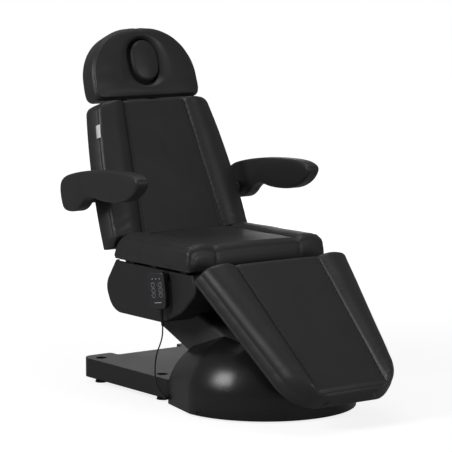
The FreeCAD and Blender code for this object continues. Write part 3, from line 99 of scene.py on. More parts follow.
def add_node(tree: bpy.types.NodeTree, kind: str, props: Optional[dict] = None,
             values: Optional[dict] = None, links: Optional[dict] = None) -> bpy.types.Node:
    """Adds one shader node with its settings, its socket values and its incoming links.

    Args:
        tree: The node tree that gets the node.
        kind: The node's type name.
        props: Settings of the node itself, by name.
        values: Socket values, by socket name or number.
        links: Output sockets to plug in, by this node's socket name or number.

    Returns:
        The new node.
    """
    made = tree.nodes.new(kind)
    for name, value in (props or {}).items():
        setattr(made, name, value)
    for name, value in (values or {}).items():
        made.inputs[name].default_value = value
    for name, source in (links or {}).items():
        tree.links.new(source, made.inputs[name])
    return made


class Grain(Enum):
    """How a surface was made, which decides its fine relief."""
    PEBBLED = "embossed artificial leather"
    SPECKLED = "powder coat or textured mould"
    DRAWN = "turned or drawn metal"
    SMOOTH = "polished mould"


@dataclass(frozen=True)
class Finish:
    """One material: a base colour with soft mottling, a relief and a gloss that varies a little.

    Where edge_mm is set, edges are shaded as if they were rounded to that radius.
    """
    name: str
    colour: str
    mottle: str
    roughness: float
    grain: Grain
    grain_mm: float
    relief_mm: float
    mottle_mm: float = 70.0
    gloss_spread: float = 0.08
    metallic: float = 0.0
    ior: float = 1.5
    edge_mm: float = 0.0
    edge_samples: int = 6
    mottle_detail: float = 4.0
    grain_detail: float = 3.0
    drawn_stretch: float = 14.0
    relief_strength: float = 0.6

    def relief(self, tree: bpy.types.NodeTree, place: bpy.types.NodeSocket) -> bpy.types.NodeSocket:
        """Adds the nodes of the fine relief.

        Args:
            tree: The material's node tree.
            place: The coordinates that the pattern follows.

        Returns:
            The socket with the relief's height.
        """
        scale = 1.0 / (self.grain_mm * MM)
        if self.grain is Grain.PEBBLED:
            cells = add_node(tree, "ShaderNodeTexVoronoi", {"feature": "SMOOTH_F1"},
                             {"Scale": scale, "Randomness": 1.0}, {"Vector": place})
            return cells.outputs["Distance"]
        if self.grain is Grain.DRAWN:
            squeeze = add_node(tree, "ShaderNodeMapping", links={"Vector": place},
                               values={"Scale": (1.0, self.drawn_stretch, self.drawn_stretch)})
            place = squeeze.outputs["Vector"]
        speck = add_node(tree, "ShaderNodeTexNoise", values={"Scale": scale, "Detail": self.grain_detail},
                         links={"Vector": place})
        return speck.outputs["Fac"]

    def material(self) -> bpy.types.Material:
        """Builds the material, or gives back the one already built.

        Returns:
            The material with its nodes.
        """
        found = bpy.data.materials.get(self.name)
        if found is not None:
            return found
        made = bpy.data.materials.new(self.name)
        made.use_nodes = True
        tree = made.node_tree
        shader = tree.nodes["Principled BSDF"]
        shader.inputs["Metallic"].default_value = self.metallic
        if not self.metallic:
            shader.inputs["IOR"].default_value = self.ior
        place = add_node(tree, "ShaderNodeTexCoord").outputs["Object"]
        cloud = add_node(tree, "ShaderNodeTexNoise", links={"Vector": place},
                         values={"Scale": 1.0 / (self.mottle_mm * MM), "Detail": self.mottle_detail})
        tint = add_node(tree, "ShaderNodeMix", {"data_type": "RGBA"},
                        {6: linear(self.colour), 7: linear(self.mottle)}, {0: cloud.outputs["Fac"]})
        tree.links.new(tint.outputs[2], shader.inputs["Base Color"])
        gloss = add_node(tree, "ShaderNodeMapRange", links={"Value": cloud.outputs["Fac"]},
                         values={"To Min": self.roughness - self.gloss_spread,
                                 "To Max": self.roughness + self.gloss_spread})
        tree.links.new(gloss.outputs["Result"], shader.inputs["Roughness"])
        bump = add_node(tree, "ShaderNodeBump", links={"Height": self.relief(tree, place)},
                        values={"Strength": self.relief_strength, "Distance": self.relief_mm * MM})
        if self.edge_mm:
            softened = add_node(tree, "ShaderNodeBevel", {"samples": self.edge_samples},
                                {"Radius": self.edge_mm * MM})
            tree.links.new(softened.outputs["Normal"], bump.inputs["Normal"])
        tree.links.new(bump.outputs["Normal"], shader.inputs["Normal"])
        return made


# Artificial leather: embossed PVC with a soft broad sheen; the pebble is drawn twice its size to show.
LEATHER = Finish("black_artificial_leather", "#2a2a2b", "#313132", 0.44, Grain.PEBBLED,
                 2.4, 0.35, 90.0, 0.05, ior=1.46)
# Covered board: the same black vinyl stretched flat over plywood, a little duller.
BOARD_VINYL = Finish("black_board_vinyl", "#161617", "#1b1b1c", 0.55, Grain.PEBBLED, 2.4, 0.2, 120.0, 0.05)
# Powder coat on sheet steel: fine orange peel, satin, with light pooling on flat tops.
TRAY_COAT = Finish("grey_black_powder_coat", "#1e1e20", "#232325", 0.52, Grain.SPECKLED,
                   1.6, 0.05, 160.0, 0.04, edge_mm=5.0)
# Moulded ABS with a satin polish: soft round highlights on the dome.
DOME_ABS = Finish("satin_black_abs", "#1b1b1d", "#202022", 0.27, Grain.SPECKLED,
                  2.0, 0.03, 220.0, 0.03, edge_mm=45.0)
# Textured ABS: spark-eroded mould texture, which scatters the light to an even matt black.
HOUSING_ABS = Finish("textured_black_abs", "#222223", "#272728", 0.56, Grain.SPECKLED,
                     1.4, 0.12, 150.0, 0.05, edge_mm=6.0)
# Matt paint on folded sheet steel: even dark grey, with hardly a highlight.
ARM_PAINT = Finish("matt_black_paint", "#39393a", "#3e3e3f", 0.6, Grain.SPECKLED,
                   1.2, 0.1, 130.0, 0.05, edge_mm=4.0)
# Stove enamel on welded tube: smooth black, with soft long highlights.
FRAME_PAINT = Finish("black_frame_enamel", "#161617", "#1d1d1e", 0.45, Grain.SPECKLED, 1.8, 0.12, 90.0, 0.06)
# Zinc plated, turned steel: pale and slightly streaked along the bar.
ZINC_STEEL = Finish("zinc_plated_steel", "#b9bbbe", "#a7a9ad", 0.3, Grain.DRAWN,
                    1.0, 0.03, 40.0, 0.08, metallic=1.0)
# Natural rubber and soft PVC: very matt, dusty black.
RUBBER = Finish("matt_black_rubber", "#191919", "#212121", 0.75, Grain.SPECKLED, 1.0, 0.08, 30.0, 0.06)
# Glass-filled nylon of actuators and glands: dull black, with a faint grain.
NYLON = Finish("black_nylon_casing", "#1c1c1e", "#242426", 0.5, Grain.SPECKLED, 1.2, 0.08, 60.0, 0.06)
# Handset shell: fine satin ABS in dark grey.
HANDSET_ABS = Finish("dark_grey_handset_abs", "#2b2c2e", "#323336", 0.36, Grain.SPECKLED,
                     0.9, 0.05, 40.0, 0.05)
# Silicone keys: smooth dark grey, with a dull gloss.
KEY_RUBBER = Finish("dark_silicone_keys", "#37383b", "#3f4043", 0.5, Grain.SMOOTH, 1.0, 0.03, 12.0, 0.05)
# Bonded polyester thread of the top stitching: charcoal, a little lighter than the leather.
THREAD = Finish("charcoal_thread", "#4a4a4c", "#565658", 0.6, Grain.SPECKLED, 0.6, 0.08, 8.0, 0.05)
# Woven nylon tape of the sewn tab: flat white.
TAPE = Finish("white_woven_tape", "#f2f2f0", "#e6e6e3", 0.75, Grain.SPECKLED, 0.7, 0.1, 10.0, 0.05)
# Pad-printed ink marks on the handset: pale grey, flat and even.
INK = Finish("pale_printed_ink", "#c9cacc", "#bfc0c3", 0.5, Grain.SMOOTH, 0.8, 0.02, 8.0, 0.04)


def link_object(name: str, data: bpy.types.ID) -> bpy.types.Object:
    """Makes an object of some data and puts it into the scene.

    Args:
        name: The new object's name.
        data: A mesh, a curve, a light or a camera.

    Returns:
        The new object, at the origin.
    """
    made = bpy.data.objects.new(name, data)
    bpy.context.scene.collection.objects.link(made)
    return made


def grid_mesh(name: str, grid: Array, wrap_rows: bool = False) -> bpy.types.Object:
    """Makes a closed mesh from a grid of points whose columns run round a loop.

    Each quad joins a point with its neighbours in the next row and the next column. Rows either join
    round again, as on a ring, or the first and the last row are closed by a flat face. The enclosed
    volume, the sum of the tetrahedra to the middle, gives the winding that points outwards.

    Args:
        name: The new object's name.
        grid: Points in metres, as rows by columns by three.
        wrap_rows: Whether the last row joins the first.

    Returns:
        The new object, at the origin.
    """
    rows, columns = grid.shape[:2]
    number = np.arange(rows * columns).reshape(rows, columns)
    below = number if wrap_rows else number[:-1]
    above = np.roll(number, -1, 0) if wrap_rows else number[1:]
    quads = np.stack([below, np.roll(below, -1, 1), np.roll(above, -1, 1), above], -1).reshape(-1, 4)
    points = grid.reshape(-1, 3)
    faces = quads.tolist()
    if not wrap_rows:
        faces += [number[0][::-1].tolist(), number[-1].tolist()]
    if volume_sign(points, quads) < 0:
        faces = [face[::-1] for face in faces]
    made = mesh_object(name, points, faces)
    made.data.polygons.foreach_set("use_smooth", np.arange(len(faces)) < len(quads))
    return made


def mesh_object(name: str, points: Array, faces: List[List[int]]) -> bpy.types.Object:
    """Makes a smooth-shaded object from points and faces.

    Args:
        name: The new object's name.
        points: Points in metres.
        faces: Lists of point numbers.

    Returns:
        The new object, at the origin.
    """
    mesh = bpy.data.meshes.new(name)
    mesh.from_pydata(points.tolist(), [], faces)
    mesh.polygons.foreach_set("use_smooth", np.ones(len(faces), bool))
    mesh.update()
    return link_object(name, mesh)


def volume_sign(points: Array, quads: Array) -> float:
    """Says which way faces wind: the sign of the sum of the tetrahedra from the middle to each face."""
    a, b, c, d = (points[quads[:, i]] - points.mean(0) for i in range(4))
    return float(np.sign(np.einsum("ij,ij->", a, np.cross(b, c)) + np.einsum("ij,ij->", a, np.cross(c, d))))


def coons(top: Array, low: Array, left: Array, right: Array) -> Array:
    """Fills a four-sided loop: the two straight blends of opposite sides, less the corners' blend.

    Args:
        top: Points of the first row, from left to right.
        low: Points of the last row, from left to right.
        left: Points of the first column, from top to low.
        right: Points of the last column, from top to low.

    Returns:
        Points as rows by columns by three.
    """
    u = np.linspace(0.0, 1.0, len(top))[None, :, None]
    v = np.linspace(0.0, 1.0, len(left))[:, None, None]
    rows = (1 - v) * top[None] + v * low[None]
    columns = (1 - u) * left[:, None] + u * right[:, None]
    corners = (1 - v) * ((1 - u) * top[0] + u * top[-1]) + v * ((1 - u) * low[0] + u * low[-1])
    return rows + columns - corners


@dataclass(frozen=True)
class Loop:
    """A closed loop of points: along the top, down the right, back along the low side, up the left."""
    wide: int
    tall: int

    def border(self) -> Array:
        """Numbers the loop's points on the border of a patch.

        Returns:
            Point numbers as rows by columns, with -1 inside the border.
        """
        side = self.tall - 2
        grid = np.full((self.tall, self.wide), -1)
        grid[0] = np.arange(self.wide)
        grid[1:-1, -1] = self.wide + np.arange(side)
        grid[-1] = self.wide + side + np.arange(self.wide)[::-1]
        grid[1:-1, 0] = (2 * self.wide + side + np.arange(side))[::-1]
        return grid

    def patch(self, ring: Array) -> Array:
        """Fills one loop of points smoothly, as rows by columns by three."""
        grid = ring[self.border()]
        return coons(grid[0], grid[-1], grid[:, 0], grid[:, -1])

    def skin(self, name: str, rings: Array, first: Array, last: Array) -> bpy.types.Object:
        """Makes a closed mesh: a tube through the rings, with a filled patch at each end.

        Args:
            name: The new object's name.
            rings: Points in metres, as rings by loop points by three.
            first: The patch on the first ring, of which the inner points count.
            last: The patch on the last ring.

        Returns:
            The new object, at the origin.
        """
        count, around = rings.shape[:2]
        number = np.arange(count * around).reshape(count, around)
        ahead = np.roll(number, -1, 1)
        body = np.stack([number[:-1], ahead[:-1], ahead[1:], number[1:]], -1).reshape(-1, 4)
        points, faces = [rings.reshape(-1, 3)], [body]
        inner = self.border() < 0
        total = count * around
        for row, patch in ((0, first), (count - 1, last)):
            index = self.border() + row * around
            index[inner] = total + np.arange(inner.sum())
            total += int(inner.sum())
            points.append(patch[inner])
            corners = (index[:-1, :-1], index[:-1, 1:], index[1:, 1:], index[1:, :-1])
            quads = np.stack(corners, -1).reshape(-1, 4)
            faces.append(quads[:, ::-1] if row == 0 else quads)
        every, quads = np.concatenate(points), np.concatenate(faces)
        return mesh_object(name, every, (quads[:, ::-1] if volume_sign(every, quads) < 0 else quads).tolist())


def tube(name: str, path: Array, radius: float, beside: Array, around: int = 20) -> bpy.types.Object:
    """Carries a circle along a path; its axes come from the path's direction and one fixed direction.

    Args:
        name: The new object's name.
        path: Points in metres.
        radius: The circle's radius in millimetres.
        beside: A direction that the path never runs along.
        around: How many points the circle has.

    Returns:
        The tube.
    """
    ahead = unit(np.gradient(path, axis=0))
    side = unit(np.cross(ahead, beside))
    up = np.cross(side, ahead)
    angle = full_turn(around)[None, :, None]
    ring = np.cos(angle) * side[:, None] + np.sin(angle) * up[:, None]
    return grid_mesh(name, path[:, None] + radius * MM * ring)


def dress(piece: bpy.types.Object, finish: Finish, body: str) -> bpy.types.Object:
    """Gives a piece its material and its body.

    Args:
        piece: The piece, in place.
        finish: Its finish.
        body: The CAD body that it moves with.

    Returns:
        The same piece.
    """
    piece.data.materials.append(finish.material())
    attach(piece, body)
    log.info("%s rides on %s", piece.name, body)
    return piece


def unit(vectors: Array) -> Array:
    """Scales each vector to a length of 1."""
    return vectors / np.linalg.norm(vectors, axis=-1, keepdims=True)


def run_length(path: Array) -> Array:
    """The distance run along a path at each of its points."""
    return np.concatenate([[0.0], np.cumsum(np.linalg.norm(np.diff(path, axis=0), axis=1))])


def points_at(places: Array, run: Array, path: Array) -> Array:
    """Points, or other vectors, at distances along a path, evenly between those at its own points."""
    return np.stack([np.interp(places, run, column) for column in path.T], -1)


def full_turn(count: int) -> Array:
    """Angles of a whole turn in equal steps, the first one not repeated at the end."""
    return np.linspace(0.0, 2 * np.pi, count, endpoint=False)


def bell(distance: Array, reach: float) -> Array:
    """A Gaussian bell: 1 at no distance, and a little over a third at the reach."""
    return np.exp(-(distance / reach) ** 2)


def pillow(shape: Tuple[int, int], up_power: float, across_power: float) -> Array:
    """A swelling that is nothing at a patch's border: half sines up and across it, each to a power.

    Args:
        shape: The patch's rows and columns.
        up_power: The power up the patch; the lower it is, the flatter the swelling.
        across_power: The power across the patch.

    Returns:
        Shares of the full swelling, as rows by columns.
    """
    up, across = (np.sin(np.pi * np.linspace(0.0, 1.0, count)) for count in shape)
    return up[:, None] ** up_power * across ** across_power


def smooth_step(value: Array) -> Array:
    """Rises from 0 to 1 with level ends."""
    t = np.clip(value, 0.0, 1.0)
    return t * t * (3.0 - 2.0 * t)


def ripple(along: Array, across: Array, wave: float, phase: float) -> Array:
    """A slow, uneven wave: two sines whose lengths aren't in step, leaning across the panel.

    Args:
        along: Places along the panel.
        across: Places across the panel.
        wave: The longer wave's length.
        phase: Where the wave starts.

    Returns:
        Heights from about -1 to 1.
    """
    slant, counter_slant, short_share, phase_step, main_share = 0.31, 0.17, 0.618, 2.3, 0.6
    first = np.sin(2 * np.pi * (along + slant * across) / wave + phase)
    second = np.sin(2 * np.pi * (along - counter_slant * across) / (wave * short_share) + phase_step * phase)
    return main_share * first + (1.0 - main_share) * second


@dataclass(frozen=True)
class Panel:
    """The plane of a board: its lean in degrees, and the line from which lengths along it are measured."""
    lean: float
    y: float
    z: float

    def place(self, across: Array, along: Array, out: Array) -> Array:
        """Turns panel sizes into points of the chair.

        Args:
            across: Distances from the middle line.
            along: Distances along the board.
            out: Distances out of the board's back face.

        Returns:
            Points in metres.
        """
        c, s = math.cos(math.radians(self.lean)), math.sin(math.radians(self.lean))
        across, along, out = np.broadcast_arrays(across, along, out)
        y = self.y + FRAME_SHIFT_Y + along * c - out * s
        z = self.z + along * s + out * c
        return np.stack([across, y, z], -1) * MM


@dataclass
class StitchRow:
    """A row of thread stitches that lies on a sewn edge."""
    pitch: float = 7.5
    length: float = 5.6
    thick: float = 1.5
    sides: int = 6
    body_share: float = 0.6

    def capsules(self, path: Array, up: Array) -> Tuple[Array, Tuple[Array, Array, Array]]:
        """Puts a small spindle at every stitch of a path.

        A spindle is two rings of points between two tips; its axes are the path's direction, the side
        and the direction out of the leather.

        Args:
            path: Points along the row, in metres.
            up: The direction out of the leather at each point.

        Returns:
            The stitches' points, and the faces of one stitch: its body and its two tips.
        """
        run, pitch = run_length(path), self.pitch * MM
        centres = np.arange(pitch, run[-1] - pitch, pitch)
        at = points_at(centres, run, path)
        along = unit(points_at(centres + MM, run, path) - at)
        side = unit(np.cross(along, points_at(centres, run, up)))
        axes = np.stack([along, side, np.cross(side, along)], 1)
        turn = full_turn(self.sides)
        ring = np.stack([np.zeros(self.sides), np.cos(turn), np.sin(turn)], -1) * self.thick / 2
        tip = np.array([[self.length / 2, 0.0, 0.0]])
        shape = np.concatenate([ring - self.body_share * tip, ring + self.body_share * tip, -tip, tip]) * MM
        points = at[:, None] + np.einsum("pk,nkj->npj", shape, axes)
        i = np.arange(self.sides)
        j = (i + 1) % self.sides
        body = np.stack([i, j, j + self.sides, i + self.sides], -1)
        low = np.stack([j, i, np.full_like(i, 2 * self.sides)], -1)
        high = np.stack([i + self.sides, j + self.sides, np.full_like(i, 2 * self.sides + 1)], -1)
        return points, (body, low, high)


def stitch_mesh(name: str, points: Array, faces: Tuple[Array, Array, Array]) -> bpy.types.Object:
    """Makes one mesh of stitches from their points and the faces of one stitch.

    Args:
        name: The new object's name.
        points: Points in metres, as stitches by points by three.
        faces: Quads of the body and triangles of the two tips.

    Returns:
        The new object.
    """
    count, size = points.shape[:2]
    shift = np.arange(count)[:, None, None] * size
    lists: List[list] = []
    for part in faces:
        lists += (part[None] + shift).reshape(-1, part.shape[1]).tolist()
    return mesh_object(name, points.reshape(-1, 3), lists)


def corner_draw(room: Array, radius: float) -> Array:
    """How far a rounded corner draws a side in: the gap between a circle and its tangent.

    Args:
        room: Distances from the panel's end.
        radius: The corner's radius.

    Returns:
        Distances to take off the half width.
    """
    short = np.clip(radius - room, 0.0, radius)
    return radius - np.sqrt(np.maximum(radius ** 2 - short ** 2, 0.0))


@dataclass
class BolsterPad:
    """An upholstered panel: a flat middle between two bolsters, with a sewn channel each side.

    Sizes run along the panel from start to end. The section's top is the panel height, plus a low
    arch on the middle and a fuller arch on each bolster, less a deep groove at each seam and a fine
    one where the sewn strip beside it ends. Its sides lean in towards the top and carry the seam
    that closes the cover.
    """
    name: str
    node: str
    body: str
    panel: Panel
    start: float
    end: float
    height: float
    bolster_crown: float
    middle_crown: float
    seam_start: float
    seam_end: float
    lean: float
    draw: float
    edge_round: float
    wall_seam_share: float
    wall_seam_depth: float
    phase: float
    base: float = 2.0
    groove: float = 7.0
    groove_reach: float = 4.5
    strip: float = 11.0
    strip_groove: float = 1.5
    strip_groove_reach: float = 1.9
    bolster_skew: float = 0.8
    bolster_power: float = 1.2
    unsewn_share: float = 0.4
    pucker: float = 0.4
    pucker_reach: float = 15.0
    pucker_wave: float = 23.0
    slack: float = 0.7
    slack_wave: float = 230.0
    side_phase: float = 1.1
    end_edge_share: float = 0.35
    lean_power: float = 1.6
    draw_power: float = 2.2
    wall_seam_reach: float = 2.3
    wall_swell: float = 1.5
    wall_slack: float = 0.5
    wall_slack_wave: float = 64.0
    end_round: float = 5.0
    end_swell: float = 3.0
    end_fill: Tuple[float, float] = (0.5, 0.3)
    end_groove_share: float = 0.6
    end_density: float = 0.8
    stations: int = 150
    top_steps: int = 21
    near_strips: float = 2.2
    lobe_reach: float = 24.0
    lobe_share: float = 0.4
    rim_share: float = 0.98
    stitch_margin: float = 16.0
    stitch_steps: int = 160
    loop: Loop = Loop(121, 30)

    def half_width(self, s: Array) -> Array:
        """Half the panel's width at places along it; each panel gives its own."""
        raise NotImplementedError

    def fullness(self, s: Array) -> Array:
        """The height's share at places along the panel, less at its ends; each panel gives its own."""
        raise NotImplementedError

    def folds(self, s: Array, x: Array) -> Array:
        """Heights of the wrinkles in this panel's cover; each panel gives its own."""
        raise NotImplementedError

    def seam(self, s: Array) -> Array:
        """Half the distance between the seams, changing evenly along the panel."""
        gain = (self.seam_end - self.seam_start) * (s - self.start)
        return self.seam_start + gain / (self.end - self.start)

    def sewn_share(self, s: Array) -> Array:
        """The seams' depth at places along the panel, as a share; most run from end to end."""
        return np.ones_like(s)

    def roll(self, distance: Array, reach: float, low: float) -> Array:
        """A rolled end: a quarter circle from a low share at the end up to the full height.

        Args:
            distance: Distances from the end.
            reach: How far in the roll reaches.
            low: The share at the very end.

        Returns:
            The height's share.
        """
        t = np.clip(1.0 - distance / reach, 0.0, 1.0)
        return low + (1.0 - low) * np.sqrt(1.0 - t * t)

    def places(self) -> Array:
        """Spaces the stations along the panel, closer together at its ends.

        Returns:
            Places from start to end.
        """
        t = np.linspace(0.0, 1.0, self.stations)
        t = t - self.end_density * np.sin(2 * np.pi * t) / (2 * np.pi)
        return self.start + (self.end - self.start) * t

    def across(self, s: Array) -> Array:
        """Works out points across the top, closest at the seams, the strips and the edges.

        Args:
            s: Places along the panel.

        Returns:
            Distances from the middle line, as places by points from side to side.
        """
        m, top = self.seam(s), self.half_width(s) - self.lean
        t = np.linspace(0.0, 1.0, self.top_steps)[None]
        near = self.strip * self.near_strips
        far = np.minimum(self.lobe_reach, (top - m) * self.lobe_share)
        rim = top - self.edge_round * self.rim_share
        flat = (m - near) * t[:, ::2]
        sewn = m - near * (1.0 - t[:, 1:])
        lobe = m + far * t[:, 2::2]
        crest = m + far + (rim - m - far) * t[:, 2::2]
        edge = rim + (top - rim) * np.sin(t[:, 2::2] * np.pi / 2)
        half = np.concatenate([flat, sewn, lobe, crest, edge], 1)
        return np.concatenate([-half[:, :0:-1], half], 1)

    def top(self, s: Array, x: Array) -> Array:
        """Height of the upholstery above its board, by the formula in the class's own words.

        Args:
            s: Places along the panel.
            x: Places across it, from the middle line.

        Returns:
            Heights above the board.
        """
        edge, m = self.half_width(s) - self.lean, self.seam(s)
        full, far, shown = self.fullness(s), np.abs(x), self.sewn_share(s)
        inner = np.clip(far / m, 0.0, 1.0)
        outer = np.clip((far - m) / np.maximum(edge - m, 1.0), 0.0, 1.0)
        arch = self.middle_crown * (1.0 - inner ** 2)
        bolster = self.bolster_crown * np.sin(np.pi * outer ** self.bolster_skew) ** self.bolster_power
        bolster = bolster * (self.unsewn_share + (1.0 - self.unsewn_share) * shown)
        gap = np.abs(far - m)
        sewn = self.groove * np.exp(-gap / self.groove_reach)
        sewn = sewn + self.strip_groove * bell(far - m + self.strip, self.strip_groove_reach)
        phase = self.phase + self.side_phase * np.sign(x)
        pucker = self.pucker * np.exp(-gap / self.pucker_reach)
        pucker = pucker * np.sin(2 * np.pi * s / self.pucker_wave + phase)
        soft = self.slack * ripple(s, x, self.slack_wave, phase)
        over = np.clip((far - (edge - self.edge_round)) / self.edge_round, 0.0, 1.0)
        round_off = self.edge_round * (1.0 - np.sqrt(np.clip(1.0 - over ** 2, 0.0, 1.0)))
        lying = self.height + arch + bolster - sewn * shown + pucker + soft + self.folds(s, x)
        return full * lying - round_off * (self.end_edge_share + (1.0 - self.end_edge_share) * full)

    def wall(self, s: Array, share: Array, tall: Array) -> Array:
        """How far out the side lies at a share of its height.

        Args:
            s: Places along the panel.
            share: The height's share, 0 at the board and 1 at the top edge.
            tall: The side's height.

        Returns:
            Distances from the middle line.
        """
        leaning = self.lean * share ** self.lean_power + self.draw * (1.0 - share) ** self.draw_power
        crease = self.wall_seam_depth * bell((share - self.wall_seam_share) * tall, self.wall_seam_reach)
        slack = self.wall_slack * ripple(s, share * tall, self.wall_slack_wave, self.phase)
        swell = (self.wall_swell + slack) * np.sin(np.pi * share)
        return self.half_width(s) - leaning + swell - crease * (share < 1.0)

    def rings(self) -> Array:
        """Works out the skin as one loop of (across, along, out) per station.

        Returns:
            Sizes as stations by loop points by three.
        """
        s = self.places()[:, None]
        x, wide = self.across(s), self.half_width(s)
        rise = self.top(s, x)
        q = np.linspace(1.0, 0.0, self.loop.tall)[None, 1:-1]
        right, left = self.wall(s, q, rise[:, -1:]), -self.wall(s, q, rise[:, :1])[:, ::-1]
        foot = x[:, ::-1] * (wide - self.draw) / (wide - self.lean)
        across = np.concatenate([x, right, foot, left], 1)
        out = np.concatenate([rise, rise[:, -1:] * q, np.zeros_like(foot), (rise[:, :1] * q)[:, ::-1]], 1)
        inset = corner_draw(np.minimum(s - self.start, self.end - s), self.end_round)
        tall = np.maximum(out.max(1, keepdims=True), 1.0)
        across = across * (1.0 - inset / wide)
        out = inset + out * (tall - 2 * inset) / tall
        return np.stack([across, np.broadcast_to(s, out.shape), out], -1)

    def end_patch(self, ring: Array, sign: float) -> Array:
        """Fills one end of the pad: it swells a little, and its seams run on down it.

        Args:
            ring: The loop at that end, in panel sizes.
            sign: -1 at the start, 1 at the end.

        Returns:
            Sizes as rows by columns by three.
        """
        patch = self.loop.patch(ring)
        x, s, out = patch[..., 0], patch[..., 1], patch[..., 2]
        beside = np.abs(np.abs(x) - self.seam(s))
        seams = self.groove * self.end_groove_share * self.sewn_share(s) * np.exp(-beside / self.groove_reach)
        row = round((1.0 - self.wall_seam_share) * (len(patch) - 1))
        crease = self.wall_seam_depth * bell(out - out[row], self.wall_seam_reach)
        swell = pillow(patch.shape[:2], *self.end_fill)
        patch[..., 1] = s + sign * swell * (self.end_swell - seams - crease)
        return patch

    def build(self) -> bpy.types.Object:
        """Builds the pad in place of its plain solid.

        Returns:
            The pad.
        """
        rings = self.rings()
        skins = [self.panel.place(part[..., 0], part[..., 1], self.base + part[..., 2])
                 for part in (rings, self.end_patch(rings[0], -1.0), self.end_patch(rings[-1], 1.0))]
        pad = dress(self.loop.skin(self.name, *skins), LEATHER, self.body)
        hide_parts(self.node)
        self.stitch()
        return pad

    def stitch(self) -> bpy.types.Object:
        """Sews a row of thread along the strip beside each seam, all in one piece.

        Returns:
            The stitches.
        """
        s = np.linspace(self.start + self.stitch_margin, self.end - self.stitch_margin, self.stitch_steps)
        rows = []
        for side in (-1.0, 1.0):
            x = side * (self.seam(s) - self.strip)
            path = self.panel.place(x, s, self.base + self.top(s, x))
            up = self.panel.place(x, s, self.base + self.top(s, x) + 1.0) - path
            rows.append(StitchRow().capsules(path, up / MM))
        points = np.concatenate([row[0] for row in rows])
        thread = stitch_mesh(self.name + "_stitches", points, rows[0][1])
        return dress(thread, THREAD, self.body)


@dataclass
class SeatPad(BolsterPad):
    """The seat: square corners, rolled front edge and a low lip that runs in under the backrest."""
    name: str = "seat_pad"
    node: str = "seat_cushion"
    body: str = "seat_carrier"
    panel: Panel = Panel(0.0, 0.0, 482.0)
    start: float = -197.0
    end: float = 258.0
    height: float = 82.0
    bolster_crown: float = 10.0
    middle_crown: float = 4.0
    seam_start: float = 182.0
    seam_end: float = 182.0
    lean: float = 5.0
    draw: float = 3.0
    edge_round: float = 24.0
    wall_seam_share: float = 0.15
    wall_seam_depth: float = 1.7
    phase: float = 1.7
    half: float = 300.0
    front_corner: float = 18.0
    rear_corner: float = 8.0
    front_roll: float = 38.0
    front_share: float = 0.66
    lip_reach: float = 52.0
    lip_share: float = 0.41
    lip_power: float = 2.2
    crease_place: float = 34.0
    crease_length: float = 30.0
    crease_inner: float = 238.0
    crease_fade: float = 40.0
    crease_slant: float = 0.5
    crease_wave: float = 21.0

    def half_width(self, s: Array) -> Array:
        """The seat's half width, with its corners just rounded."""
        front = corner_draw(s - self.start, self.front_corner)
        return self.half - front - corner_draw(self.end - s, self.rear_corner)

    def fullness(self, s: Array) -> Array:
        """Rolled at the front; behind, it slopes down evenly to a low end under the backrest.

        Args:
            s: Places along the panel.

        Returns:
            The height's share.
        """
        room = np.clip((self.end - s) / self.lip_reach, 0.0, 1.0)
        lip = self.lip_share + (1.0 - self.lip_share) * (1.0 - (1.0 - room) ** self.lip_power)
        return self.roll(s - self.start, self.front_roll, self.front_share) * lip

    def folds(self, s: Array, x: Array) -> Array:
        """Pulled creases, one millimetre high, that fan in from each front corner.

        Args:
            s: Places along the panel.
            x: Places across it, from the middle line.

        Returns:
            Heights.
        """
        far = np.abs(x)
        in_corner = bell(s - self.start - self.crease_place, self.crease_length)
        in_corner = in_corner * smooth_step((far - self.crease_inner) / self.crease_fade)
        return in_corner * np.sin(2 * np.pi * (far - self.crease_slant * s) / self.crease_wave)


@dataclass
class BackPad(BolsterPad):
    """The backrest: it narrows faster towards its rounded top corners."""
    name: str = "back_pad"
    node: str = "back_cushion"
    body: str = "backrest"
    panel: Panel = Panel(68.0, 300.0, 490.0)
    start: float = 16.0
    end: float = 548.0
    height: float = 70.0
    bolster_crown: float = 18.0
    middle_crown: float = 3.0
    seam_start: float = 184.0
    seam_end: float = 133.0
    lean: float = 13.0
    draw: float = 0.0
    edge_round: float = 11.0
    wall_seam_share: float = 0.97
    wall_seam_depth: float = 0.5
    phase: float = 0.4
    bottom_half: float = 309.0
    top_draw: float = 58.0
    corner: float = 32.0
    foot_reach: float = 34.0
    foot_share: float = 0.57
    top_roll: float = 14.0
    top_share: float = 0.88
    fold_place: float = 52.0
    fold_length: float = 42.0
    fold_inset: float = 20.0
    fold_fade: float = 40.0
    fold_height: float = 0.7
    fold_slant: float = 0.45
    fold_wave: float = 37.0
    fold_phase: float = 0.7

    def half_width(self, s: Array) -> Array:
        """The backrest's half width: a parabola less the top corners."""
        even = self.bottom_half - self.top_draw * (s / self.end) ** 2
        return even - corner_draw(self.end - s, self.corner)

    def fullness(self, s: Array) -> Array:
        """Only just rounded at the top, under the headrest; it draws back where it meets the seat."""
        foot = self.foot_share + (1.0 - self.foot_share) * smooth_step((s - self.start) / self.foot_reach)
        return foot * self.roll(self.end - s, self.top_roll, self.top_share)

    def folds(self, s: Array, x: Array) -> Array:
        """A few slack wrinkles where each bolster meets the seat.

        Args:
            s: Places along the panel.
            x: Places across it, from the middle line.

        Returns:
            Heights.
        """
        far, phase = np.abs(x), self.fold_phase * np.sign(x)
        low = self.fold_height * bell(s - self.start - self.fold_place, self.fold_length)
        low = low * smooth_step((far - self.seam(s) - self.fold_inset) / self.fold_fade)
        return low * np.sin(2 * np.pi * (s + self.fold_slant * far) / self.fold_wave + phase)


